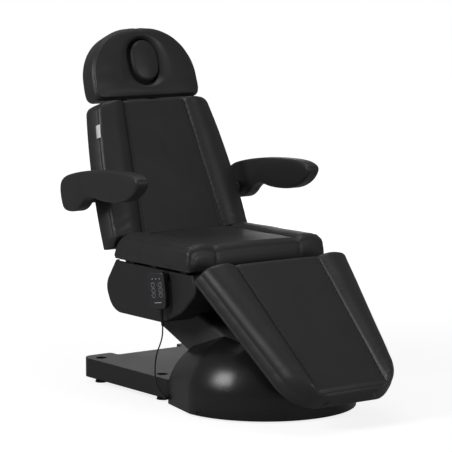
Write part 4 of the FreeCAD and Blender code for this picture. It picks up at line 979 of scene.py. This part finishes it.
@dataclass
class LegPad(BolsterPad):
    """The leg rest: wide at the seat, with big round corners at the foot."""
    name: str = "leg_pad"
    node: str = "leg_cushion"
    body: str = "legrest"
    panel: Panel = Panel(42.2, -249.6, 463.4)
    start: float = -582.0
    end: float = 0.0
    height: float = 72.0
    bolster_crown: float = 17.0
    middle_crown: float = 3.0
    seam_start: float = 144.0
    seam_end: float = 180.0
    lean: float = 10.0
    draw: float = 1.0
    edge_round: float = 30.0
    wall_seam_share: float = 0.24
    wall_seam_depth: float = 1.9
    phase: float = 2.6
    foot_half: float = 226.0
    root_half: float = 322.0
    foot_corner: float = 112.0
    root_corner: float = 14.0
    margin: float = 33.0
    foot_roll: float = 40.0
    foot_share: float = 0.66
    root_roll: float = 18.0
    root_share: float = 0.88
    seam_stop: float = 16.0
    seam_fade: float = 30.0
    cross_place: float = 17.0
    cross_depth: float = 5.0
    cross_reach: float = 5.0
    cross_overlap: float = 6.0
    cross_fade: float = 14.0
    fold_place: float = 120.0
    fold_length: float = 58.0
    fold_inset: float = 4.0
    fold_fade: float = 22.0
    fold_height: float = 0.6
    fold_slant: float = 0.75
    fold_wave: float = 41.0
    fold_phase: float = 0.9

    def half_width(self, s: Array) -> Array:
        """The leg rest's half width: a straight taper less the corners.

        Args:
            s: Places along the panel.

        Returns:
            Distances from the middle line.
        """
        taper = (self.root_half - self.foot_half) * (s - self.start) / (self.end - self.start)
        corners = corner_draw(s - self.start, self.foot_corner) + corner_draw(self.end - s, self.root_corner)
        return self.foot_half + taper - corners

    def seam(self, s: Array) -> Array:
        """The seams follow the taper and run in round the foot's corners."""
        return np.minimum(super().seam(s), self.half_width(s) - self.margin)

    def sewn_share(self, s: Array) -> Array:
        """The seams run out where the panel rolls over at the foot."""
        return smooth_step((s - self.start - self.seam_stop) / self.seam_fade)

    def fullness(self, s: Array) -> Array:
        """Rolled over at the foot and only a little at the seat."""
        foot = self.roll(s - self.start, self.foot_roll, self.foot_share)
        return foot * self.roll(self.end - s, self.root_roll, self.root_share)

    def folds(self, s: Array, x: Array) -> Array:
        """The foot's cross seam, and wrinkles aslant on each bolster where it turns the corner.

        Args:
            s: Places along the panel.
            x: Places across it, from the middle line.

        Returns:
            Heights, below zero in the seam.
        """
        far, m, from_foot = np.abs(x), self.seam(s), s - self.start
        cross = self.cross_depth * np.exp(-np.abs(from_foot - self.cross_place) / self.cross_reach)
        cross = cross * smooth_step((m + self.cross_overlap - far) / self.cross_fade)
        near_foot = bell(from_foot - self.fold_place, self.fold_length)
        near_foot = near_foot * smooth_step((far - m - self.fold_inset) / self.fold_fade)
        waves = ripple(s - self.fold_slant * far, x, self.fold_wave, self.fold_phase * np.sign(x))
        return self.fold_height * near_foot * waves - cross


def oval(half_width: float, half_height: float, turn: Array, squareness: float = 4.0) -> Array:
    """A stadium seen from its centre: two half circles joined by straight sides.

    Args:
        half_width: Half its width, which is the circles' radius.
        half_height: Half its height.
        turn: Angles from the +X side, anticlockwise.
        squareness: How sharply the circles' centres part as the turn leaves the X axis.

    Returns:
        Points as angles by two.
    """
    lift = (half_height - half_width) * np.tanh(squareness * np.sin(turn))
    return np.stack([half_width * np.cos(turn), half_width * np.sin(turn) + lift], -1)


@dataclass
class Headrest:
    """The headrest: an arch-shaped pad round an oval face hole, and the plug that fills the hole."""
    panel: Panel = Panel(72.4, 535.88, 1003.4)
    half: float = 230.0
    arc: float = 190.0
    arc_centre: float = 74.0
    foot_corner: float = 26.0
    thickness: float = 88.0
    wrap: float = 2.0
    hole_centre: float = 136.0
    hole_half_width: float = 67.0
    hole_half_height: float = 87.0
    back_inset: float = 4.0
    side_share: float = 0.95
    edge_draw: float = 10.0
    edge_from_share: float = 0.74
    edge_power: float = 2.2
    seam_depth: float = 2.2
    seam_share: float = 0.9
    seam_reach_share: float = 0.035
    crown_share: float = 0.075
    crown_pace: float = 1.7
    rim_drop_share: float = 0.16
    rim_from_share: float = 0.68
    slack: float = 0.8
    slack_wave: float = 85.0
    slack_phase: float = 0.9
    slack_from_share: float = 0.9
    plug_depth: float = 52.0
    plug_sunk: float = 2.0
    plug_fit: float = 0.8
    plug_rim: float = 9.0
    plug_shoulder: float = 13.0
    plug_gap: float = 9.5
    plug_shift: Tuple[float, float] = (8.0, 6.0)
    dome_reach: float = 46.0
    dome_rise: float = 5.0
    pole_share: float = 0.02
    same_point: float = 1e-6
    columns: int = 240
    back_rows: int = 8
    side_rows: int = 44
    face_rows: int = 50
    hole_rows: int = 12
    plug_columns: int = 150
    rim_rows: int = 9
    waist_rows: int = 8
    dome_rows: int = 16
    arc_steps: int = 60
    foot_steps: int = 40

    def outline(self, turn: Array, inset: float) -> Array:
        """The arch seen from the hole's centre: straight foot, rounded low corners, two large arcs.

        Args:
            turn: Angles about the hole's centre.
            inset: How far the outline is drawn in.

        Returns:
            Points as angles by two, from the hole's centre.
        """
        half, arc, c = self.half - inset, self.arc - inset, self.foot_corner
        quarter = np.linspace(0.0, np.pi / 2, self.arc_steps)
        level = np.linspace(0.0, half - c, self.foot_steps)
        start = np.stack([level, np.full_like(level, inset)], -1)
        foot = np.stack([half - c + c * np.sin(quarter), inset + c - c * np.cos(quarter)], -1)
        arch = np.stack([half - arc + arc * np.cos(quarter), self.arc_centre + arc * np.sin(quarter)], -1)
        right = np.concatenate([start, foot, arch, [[0.0, self.arc_centre + arc]]])
        apart = np.linalg.norm(np.diff(right, axis=0), axis=1) > self.same_point
        right = right[np.concatenate([[True], apart])]
        loop = np.concatenate([right, right[-2:0:-1] * [-1.0, 1.0]]) - [0.0, self.hole_centre]
        angle, far = np.arctan2(loop[:, 1], loop[:, 0]), np.hypot(loop[:, 0], loop[:, 1])
        reach = np.interp(turn, angle, far, period=2 * np.pi)
        return np.stack([reach * np.cos(turn), reach * np.sin(turn)], -1)

    def pad_rows(self) -> Array:
        """Works out the ring-shaped pad.

        The section runs from the hole's rim at the back, out to the edge, round the swollen side, over
        the crowned front and down the hole's wall. A row is (blend, inset, height): the point lies
        between the outer outline and the hole by the blend, and its height is a share of the pad.

        Returns:
            Points in metres, as rows by columns by three.
        """
        turn = full_turn(self.columns)
        outwards = np.linspace(1.0, 0.0, self.back_rows)
        flat = np.stack([outwards, np.full_like(outwards, self.back_inset), np.zeros_like(outwards)], -1)
        t = np.linspace(0.0, 1.0, self.side_rows)[1:]
        edge = np.clip(t - self.edge_from_share, 0.0, 1.0) / (1.0 - self.edge_from_share)
        edge = self.edge_draw * edge ** self.edge_power
        edge = edge + self.seam_depth * bell(t - self.seam_share, self.seam_reach_share)
        side = np.stack([np.zeros_like(t), self.back_inset * (1 - t) ** 2 + edge, self.side_share * t], -1)
        u = np.linspace(0.0, 1.0, self.face_rows)[1:]
        rise = self.crown_share * np.sin(np.pi * np.minimum(u * self.crown_pace, 1.0) / 2)
        rim = np.clip((u - self.rim_from_share) / (1.0 - self.rim_from_share), 0.0, 1.0)
        crown = self.side_share + rise - self.rim_drop_share * rim ** 2
        face = np.stack([u, edge[-1] * (1 - u), crown], -1)
        down = np.linspace(crown[-1], 0.0, self.hole_rows)[1:-1]
        wall = np.stack([np.ones_like(down), np.zeros_like(down), down], -1)
        rows = np.concatenate([flat, side, face, wall])
        blend, high = rows[:, :1], rows[:, 2:]
        insets, which = np.unique(rows[:, 1], return_inverse=True)
        outer = np.stack([self.outline(turn, float(inset)) for inset in insets])
        hole = oval(self.hole_half_width, self.hole_half_height, turn)
        plan = (1 - blend[..., None]) * outer[which] + blend[..., None] * hole[None]
        across, along = plan[..., 0], plan[..., 1] + self.hole_centre
        crease = self.slack * ripple(along, across, self.slack_wave, self.slack_phase)
        crease = crease * (high > self.slack_from_share) * (1 - blend)
        return self.panel.place(across, along, self.wrap + (self.thickness - self.wrap) * high + crease)

    def plug_rows(self) -> Array:
        """Works out the plug: an oval with rounded rims, a flat back and a low dome in front.

        Its section is a rim that fits the hole, a waist that draws in to the gap, a rounded shoulder
        and the dome. A row is (inset, out): how far the oval is drawn in, and its height.

        Returns:
            Points in metres, as rows by columns by three.
        """
        back, top = self.thickness - self.plug_depth, self.thickness - self.plug_sunk
        fit, gap, shoulder = self.plug_fit, self.plug_gap, self.plug_shoulder
        q = np.linspace(0.0, np.pi / 2, self.rim_rows)
        low = np.stack([fit + self.plug_rim * (1 - np.sin(q)), back + self.plug_rim * (1 - np.cos(q))], -1)
        neck = np.linspace(0.0, 1.0, self.waist_rows)[1:]
        foot = back + self.plug_rim
        waist = np.stack([fit + (gap - fit) * smooth_step(neck), foot + (top - shoulder - foot) * neck], -1)
        high = np.stack([gap + shoulder * (1 - np.cos(q)), top - shoulder + shoulder * np.sin(q)], -1)[1:]
        d = np.linspace(0.0, 1.0, self.dome_rows)[1:]
        dome = np.stack([gap + shoulder + self.dome_reach * d, top + self.dome_rise * (1 - (1 - d) ** 2)], -1)
        rows = np.concatenate([low, waist, high, dome])
        inset, out = rows[:, :1], rows[:, 1:]
        size = np.array([self.hole_half_width, self.hole_half_height])
        scale = np.maximum((size - inset) / size, self.pole_share)
        shift = smooth_step((out - foot) / (top - foot)) * np.array(self.plug_shift)
        plan = oval(*size, full_turn(self.plug_columns))[None] * scale[:, None] + shift[:, None]
        return self.panel.place(plan[..., 0], plan[..., 1] + self.hole_centre, out)

    def build(self) -> None:
        """Builds the pad and the plug in place of their plain solids."""
        pad = grid_mesh("headrest_pad", self.pad_rows(), wrap_rows=True)
        dress(pad, LEATHER, "headrest")
        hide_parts("headrest_cushion")
        plug = grid_mesh("face_plug_pad", self.plug_rows())
        dress(plug, LEATHER, "face_plug")
        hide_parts("face_plug")


@dataclass
class Armrests:
    """The two padded boomerang armrests, drawn once in side view and mirrored."""
    inner_x: float = 345.0
    width: float = 55.0
    length: float = 497.0
    rear_y: float = 459.0
    low_z: float = 641.0
    rise: float = 170.0
    edge: float = 11.0
    flat_half: float = 16.0
    crown: float = 3.0
    crown_fill: Tuple[float, float] = (0.7, 0.5)
    edge_rows: int = 9
    steps: int = 24
    turns: Tuple[int, int, int] = (1, 6, 8)
    loop: Loop = Loop(90, 24)
    corner_shares: Tuple[Tuple[float, float], ...] = (
        (1.0, 0.506), (0.957, 0.729), (0.80, 0.853), (0.573, 0.959), (0.326, 1.0), (0.12, 1.0), (0.01, 0.918),
        (0.0, 0.771), (0.068, 0.535), (0.212, 0.359), (0.449, 0.329), (0.594, 0.406), (0.676, 0.312),
        (0.734, 0.124), (0.80, 0.024), (0.913, 0.0), (0.965, 0.088))

    def outline(self) -> Array:
        """The side view: a quadratic spline that touches the middle of every side of its corners.

        Returns:
            Points (y, z) round the loop: along the top, down the front, back underneath and up the rear.
        """
        points = np.array([self.rear_y - self.length, self.low_z])
        points = points + np.array([self.length, self.rise]) * np.array(self.corner_shares)
        t = np.linspace(0.0, 1.0, self.steps, endpoint=False)[:, None]
        before, after = np.roll(points, 1, 0)[:, None], np.roll(points, -1, 0)[:, None]
        spline = 0.5 * ((1 - t) ** 2 * before + (1 + 2 * t - 2 * t ** 2) * points[:, None] + t ** 2 * after)
        spline = spline.reshape(-1, 2)
        closed = np.concatenate([spline, spline[:1]])
        run = run_length(closed)
        top, front, low = (run[self.steps * corner + self.steps // 2] for corner in self.turns)
        wide, tall, whole = self.loop.wide, self.loop.tall, run[-1]
        where = np.concatenate([np.linspace(top, front, wide), np.linspace(front, low, tall)[1:-1],
                                np.linspace(low, whole, wide), np.linspace(whole, whole + top, tall)[1:-1]])
        return points_at(where % whole, run, closed)

    def rings(self, side: float) -> Tuple[Array, Array, Array]:
        """Works out one armrest: its outline drawn in along its own normals round each edge.

        Args:
            side: 1 for the far armrest, -1 for the near one.

        Returns:
            Rings, and the crowned patches on both sides, in metres.
        """
        outline = self.outline()
        after = np.roll(outline, -1, 0)
        ahead = unit(after - np.roll(outline, 1, 0))
        turning = outline[:, 0] * after[:, 1] - outline[:, 1] * after[:, 0]
        inward = np.stack([-ahead[:, 1], ahead[:, 0]], -1) * np.sign(turning.sum())
        q = np.linspace(0.0, np.pi / 2, self.edge_rows)
        first = np.stack([self.edge * (1 - np.sin(q)), self.edge * (1 - np.cos(q))], -1)
        middle = np.array([[0.0, self.width / 2 + at] for at in (-self.flat_half, 0.0, self.flat_half)])
        rows = np.concatenate([first, middle, [[0.0, self.width]] - first[::-1] * [-1.0, 1.0]])
        flat = outline[None] + inward[None] * rows[:, 0][:, None, None]
        depth = np.broadcast_to(rows[:, 1:], flat.shape[:2])
        grid = np.concatenate([depth[..., None], flat], -1)
        patches = [self.loop.patch(grid[row]) for row in (0, -1)]
        dome = self.crown * pillow(patches[0].shape[:2], *self.crown_fill)
        patches[0][..., 0] -= dome
        patches[1][..., 0] += dome
        return tuple(self.place(part, side) for part in (grid, *patches))

    def place(self, part: Array, side: float) -> Array:
        """Turns (depth, y, z) sizes into points in metres on one side of the chair."""
        x = side * (self.inner_x + part[..., 0])
        return np.stack([x, part[..., 1] + FRAME_SHIFT_Y, part[..., 2]], -1) * MM

    def build(self) -> None:
        """Builds both armrests in place of their plain solids."""
        for side, word in ((-1.0, "near"), (1.0, "far")):
            pad = self.loop.skin("armrest_cover_" + word, *self.rings(side))
            dress(pad, LEATHER, "armrest_" + word)
            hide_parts("armrest_pad_" + word)


@dataclass
class Handset:
    """Printed marks on the handset's face and the cord that hangs from it."""
    x: float = -309.0
    y: float = -36.0
    z: float = 404.0
    turn: float = 20.0
    lean: float = 7.0
    face: float = -12.0
    ink_sunk: float = 0.05
    ink_edge: float = 0.25
    ink_rise: float = 0.3
    ink_top_share: float = 0.9
    mark_points: int = 28
    ring_points: int = 32
    mark_columns: Tuple[float, ...] = (-15.0, 0.0, 15.0)
    mark_z: float = 43.0
    mark_size: Tuple[float, float] = (4.6, 3.4)
    stripe_z: float = -40.0
    stripe_size: Tuple[float, float] = (30.0, 2.6)
    key_columns: Tuple[float, ...] = (-15.0, 15.0)
    key_rows: Tuple[float, ...] = (22.0, 4.0, -14.0)
    ring_radii: Tuple[float, float] = (7.0, 7.9)
    cord_diameter: float = 5.0
    cord_steps: int = 60
    route_order: int = 3
    route_steps: int = 16
    split_z: float = 125.0
    route: Tuple[Point, ...] = (
        (-304.0, -50.2, 282.4), (-301.5, -47.0, 254.0), (-297.0, -30.0, 222.0), (-293.0, -5.0, 190.0),
        (-290.5, 11.0, 160.0), (-289.0, 18.5, 127.0), (-289.0, 18.5, 95.0), (-288.0, 11.0, 67.0),
        (-287.0, -3.0, 46.0), (-286.0, -18.0, 36.0))

    def place(self, points: Array) -> Array:
        """Turns points of the upright handset, whose face looks to -X, into its hanging place.

        Args:
            points: Points in millimetres about the handset's middle.

        Returns:
            Points in metres.
        """
        lean, turn = math.radians(-self.lean), math.radians(self.turn)
        about_x = np.array([[1.0, 0.0, 0.0],
                            [0.0, math.cos(lean), -math.sin(lean)],
                            [0.0, math.sin(lean), math.cos(lean)]])
        about_z = np.array([[math.cos(turn), -math.sin(turn), 0.0],
                            [math.sin(turn), math.cos(turn), 0.0],
                            [0.0, 0.0, 1.0]])
        return (points @ about_x.T @ about_z.T + [self.x, self.y + FRAME_SHIFT_Y, self.z]) * MM

    def mark(self, name: str, y: float, z: float, size: Tuple[float, float]) -> bpy.types.Object:
        """Prints one round-ended mark on the face, as a thin raised film.

        Args:
            name: The piece's name.
            y: Its middle across the face.
            z: Its middle up the face.
            size: Its width and height.

        Returns:
            The mark.
        """
        angle, radius = full_turn(self.mark_points), min(size) / 2
        loop_y = radius * np.cos(angle) + (size[0] / 2 - radius) * np.sign(np.cos(angle))
        loop_z = radius * np.sin(angle) + (size[1] / 2 - radius) * np.sign(np.sin(angle))
        depth = np.array([[self.ink_sunk], [-self.ink_edge], [-self.ink_rise]])
        shrink = np.array([[1.0], [1.0], [self.ink_top_share]])
        rows = np.broadcast_arrays(self.face + depth, y + loop_y * shrink, z + loop_z * shrink)
        return dress(grid_mesh(name, self.place(np.stack(rows, -1))), INK, "handset")

    def ring(self, name: str, y: float, z: float) -> bpy.types.Object:
        """Prints a thin circle round one key.

        Args:
            name: The piece's name.
            y: The key's middle across the face.
            z: The key's middle up the face.

        Returns:
            The circle.
        """
        angle, (inner, outer) = full_turn(self.ring_points)[:, None], self.ring_radii
        radius = np.array([[inner, outer, outer, inner]])
        depth = np.array([[self.ink_sunk, self.ink_sunk, -self.ink_rise, -self.ink_rise]])
        rows = np.broadcast_arrays(self.face + depth, y + radius * np.cos(angle), z + radius * np.sin(angle))
        circle = grid_mesh(name, self.place(np.stack(rows, -1)), wrap_rows=True)
        return dress(circle, INK, "handset")

    def spline_points(self) -> Array:
        """Reads the cord's line from a spline with the route as its control points.

        Returns:
            Points in metres from the handset to the base.
        """
        curve = bpy.data.curves.new("cord_route", "CURVE")
        curve.dimensions = "3D"
        spline = curve.splines.new("NURBS")
        spline.points.add(len(self.route) - 1)
        metres = (np.array(self.route) + [0.0, FRAME_SHIFT_Y, 0.0]) * MM
        spline.points.foreach_set("co", np.column_stack([metres, np.ones(len(metres))]).ravel())
        spline.order_u = self.route_order
        spline.use_endpoint_u = True
        spline.resolution_u = self.route_steps
        holder = link_object("cord_route", curve)
        bpy.context.view_layer.update()
        line = bpy.data.meshes.new_from_object(holder)
        points = np.empty(len(line.vertices) * 3)
        line.vertices.foreach_get("co", points)
        bpy.data.objects.remove(holder)
        bpy.data.meshes.remove(line)
        return points.reshape(-1, 3)

    def stretch(self, word: str, path: Array) -> None:
        """Builds one stretch of the cord.

        Args:
            word: The last word of the piece's name and its node's.
            path: Points in metres, from the end where the cord comes out.
        """
        name, node = "handset_cord_" + word, "cord_" + word
        cord = tube(name, path, self.cord_diameter / 2, np.array([1.0, 0.0, 0.0]))
        cord.data.materials.append(RUBBER.material())
        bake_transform(cord)
        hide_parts(node)

    def build_cord(self) -> None:
        """Builds the cord in two stretches that meet beside the lift arm."""
        line = self.spline_points()
        run = run_length(line)
        cut = np.interp(-self.split_z * MM, -line[:, 2], run)
        upper = points_at(np.linspace(0.0, cut, self.cord_steps), run, line)
        lower = points_at(np.linspace(cut, run[-1], self.cord_steps), run, line)
        self.stretch("upper", upper)
        self.stretch("lower", lower[::-1])

    def build(self) -> None:
        """Builds the marks and the cord."""
        for number, y in enumerate(self.mark_columns, 1):
            self.mark("handset_mark_%d" % number, y, self.mark_z, self.mark_size)
        keys = [(y, z) for z in self.key_rows for y in self.key_columns]
        for number, (y, z) in enumerate(keys, 1):
            self.ring("handset_ring_%d" % number, y, z)
        self.mark("handset_stripe", 0.0, self.stripe_z, self.stripe_size)
        self.build_cord()


@dataclass
class SewnTab:
    """A blank strip of woven tape caught in the edge seam on the near side of the backrest."""
    back: BackPad
    low: float = 414.0
    high: float = 463.0
    inner: float = 54.0
    outer: float = 72.0
    clearance: float = 0.3
    thickness: float = 0.9
    steps: int = 24

    def build(self) -> bpy.types.Object:
        """Builds the tab: a thin curved strip that lies against the pad's side.

        Returns:
            The tab.
        """
        s = np.linspace(self.low, self.high, self.steps)[:, None]
        under, over = self.clearance, self.clearance + self.thickness
        n = np.array([[self.inner, self.inner, self.outer, self.outer]])
        away = np.array([[under, over, over, under]])
        share = (n - self.back.base) / self.back.height
        x = -(self.back.wall(s, share, np.full_like(n, self.back.height)) + away)
        return dress(grid_mesh("sewn_tab", self.back.panel.place(x, s, n)), TAPE, "backrest")


@dataclass
class Carcass:
    """The CAD nodes that stay in view, each with the finish of the real piece."""
    finishes: Dict[str, Finish] = field(default_factory=lambda: {
        "tray_steel": TRAY_COAT, "dome_plastic": DOME_ABS, "frame_steel": FRAME_PAINT,
        "arm_steel": ARM_PAINT, "bright_steel": ZINC_STEEL, "board_vinyl": BOARD_VINYL, "rubber": RUBBER,
        "housing_plastic": HOUSING_ABS, "actuator_casing": NYLON, "handset_plastic": HANDSET_ABS,
        "button_plastic": KEY_RUBBER, "upholstery": LEATHER})

    def build(self, frame: dict) -> None:
        """Assigns a finish to every node by its slot in the record.

        Args:
            frame: What the frame's loader gave.
        """
        slots = {row["node"]: row["material_slot"] for row in frame["record"]["subparts"]}
        for name, node in frame["nodes"].items():
            node.data.materials.clear()
            node.data.materials.append(self.finishes[slots[name]].material())
        log.info("%d nodes dressed", len(frame["nodes"]))


@dataclass
class Studio:
    """Pale floor, soft lamps and the photograph's camera.

    Lengths are in metres, apart from target_z, a height on the chair, and the camera's sensor. The
    floor glows a little less within the first reach of glow_reach, so that the chair's shade shows.
    """
    azimuth: float = -36.5
    elevation: float = 7.43
    distance: float = 8.4
    focal_pixels: float = 2382.0
    target_z: float = 602.5
    shift_pixels: Tuple[float, float] = (1.2, -0.3)
    sensor: float = 36.0
    sight: float = 60.0
    gloss_share: float = 0.1
    surround: float = 0.1
    floor_half: float = 12.0
    floor_grey: str = "#9c9c9c"
    floor_roughness: float = 0.9
    glow_reach: Tuple[float, float] = (1.2, 4.0)
    glow_near: float = 0.84
    # Each lamp: its name, its place, the point that it faces, its side in metres and its power in watts.
    lamps: Tuple[Tuple[str, Point, Point, float, float], ...] = (
        ("key", (-4.4, 0.3, 3.0), (0.0, 0.0, 0.6), 1.7, 105.0),
        ("overhead", (0.2, 0.6, 4.2), (0.0, 0.0, 0.4), 2.4, 32.0),
        ("front", (1.0, -5.0, 1.6), (0.0, 0.0, 0.75), 2.0, 60.0),
        ("backdrop", (3.4, 4.7, 1.3), (0.0, 0.0, 0.3), 2.2, 18.0))

    def shown(self, tree: bpy.types.NodeTree) -> bpy.types.NodeSocket:
        """How far a ray sees the bright surround: wholly from the camera or through glass, in part by gloss.

        Args:
            tree: The node tree that gets the nodes.

        Returns:
            The socket with that share.
        """
        path = add_node(tree, "ShaderNodeLightPath")
        seen = add_node(tree, "ShaderNodeMath", {"operation": "MAXIMUM"},
                        links={0: path.outputs["Is Camera Ray"], 1: path.outputs["Is Transmission Ray"]})
        return add_node(tree, "ShaderNodeMath", {"operation": "MULTIPLY_ADD"}, {1: self.gloss_share},
                        {0: path.outputs["Is Glossy Ray"], 2: seen.outputs[0]}).outputs[0]

    def floor(self) -> None:
        """Lays the floor: white to the camera except where the chair shades it."""
        mesh = bpy.data.meshes.new("floor")
        signs = ((-1, -1), (1, -1), (1, 1), (-1, 1))
        corners = [(x * self.floor_half, y * self.floor_half, 0.0) for x, y in signs]
        mesh.from_pydata(corners, [], [(0, 1, 2, 3)])
        made = link_object("floor", mesh)
        paint = bpy.data.materials.new("pale_floor")
        paint.use_nodes = True
        tree = paint.node_tree
        shader = tree.nodes["Principled BSDF"]
        shader.inputs["Base Color"].default_value = linear(self.floor_grey)
        shader.inputs["Roughness"].default_value = self.floor_roughness
        shader.inputs["Specular IOR Level"].default_value = 0.0
        place = add_node(tree, "ShaderNodeTexCoord").outputs["Object"]
        away = add_node(tree, "ShaderNodeVectorMath", {"operation": "LENGTH"}, links={0: place})
        level = add_node(tree, "ShaderNodeMapRange", links={"Value": away.outputs["Value"]},
                         values={"From Min": self.glow_reach[0], "From Max": self.glow_reach[1],
                                 "To Min": self.glow_near, "To Max": 1.0})
        glow = add_node(tree, "ShaderNodeMath", {"operation": "MULTIPLY"},
                        links={0: self.shown(tree), 1: level.outputs["Result"]})
        light = add_node(tree, "ShaderNodeEmission", links={"Strength": glow.outputs[0]})
        both = add_node(tree, "ShaderNodeAddShader", links={0: shader.outputs[0], 1: light.outputs[0]})
        tree.links.new(both.outputs[0], tree.nodes["Material Output"].inputs["Surface"])
        mesh.materials.append(paint)

    def world(self) -> None:
        """Sets a soft grey surround that the camera sees as white."""
        world = bpy.data.worlds.new("studio")
        bpy.context.scene.world = world
        world.use_nodes = True
        tree = world.node_tree
        level = add_node(tree, "ShaderNodeMapRange", values={"To Min": self.surround, "To Max": 1.0},
                         links={"Value": self.shown(tree)})
        tree.links.new(level.outputs["Result"], tree.nodes["Background"].inputs["Strength"])
        tree.nodes["Background"].inputs["Color"].default_value = (1.0, 1.0, 1.0, 1.0)

    def lamp(self, name: str, place: Point, aim: Point, size: float, watts: float) -> None:
        """Hangs one square soft box.

        Args:
            name: The lamp's name.
            place: Where it hangs, in metres.
            aim: The point that it faces.
            size: Its side, in metres.
            watts: Its power.
        """
        data = bpy.data.lights.new(name, "AREA")
        data.size = size
        data.energy = watts
        link_object(name, data).matrix_world = self.looking(np.array(place), np.array(aim))

    def looking(self, place: Array, aim: Array) -> Matrix:
        """A placement whose -Z axis points from a place to an aim, with +Y as near up as it can be.

        Args:
            place: The place, in metres.
            aim: The point to look at.

        Returns:
            The placement's matrix.
        """
        back = unit(place - aim)
        right = unit(np.cross([0.0, 0.0, 1.0], back))
        columns = np.stack([right, np.cross(back, right), back, place], 1)
        return Matrix([*columns.tolist(), [0.0, 0.0, 0.0, 1.0]])

    def camera(self) -> None:
        """Sets up the photograph's camera."""
        a, e = math.radians(self.azimuth), math.radians(self.elevation)
        back = np.array([math.sin(a) * math.cos(e), -math.cos(a) * math.cos(e), math.sin(e)])
        aim = np.array([0.0, FRAME_SHIFT_Y, self.target_z]) * MM
        data = bpy.data.cameras.new("photo_camera")
        data.sensor_width = self.sensor
        data.lens = self.focal_pixels * data.sensor_width / IMAGE_PIXELS
        data.shift_x = self.shift_pixels[0] / IMAGE_PIXELS
        data.shift_y = self.shift_pixels[1] / IMAGE_PIXELS
        data.clip_end = self.sight
        made = link_object("photo_camera", data)
        made.matrix_world = self.looking(aim + back * self.distance, aim)
        bpy.context.scene.camera = made

    def build(self) -> None:
        """Builds the whole studio."""
        self.floor()
        self.world()
        for row in self.lamps:
            self.lamp(*row)
        self.camera()
        bpy.context.scene.view_settings.view_transform = "Standard"


def main() -> None:
    """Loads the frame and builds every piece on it."""
    logging.basicConfig(level=logging.INFO, format="%(name)s: %(message)s")
    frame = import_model()
    Carcass().build(frame)
    SeatPad().build()
    back = BackPad()
    back.build()
    LegPad().build()
    Headrest().build()
    Armrests().build()
    Handset().build()
    SewnTab(back).build()
    Studio().build()


if __name__ == "__main__":
    main()
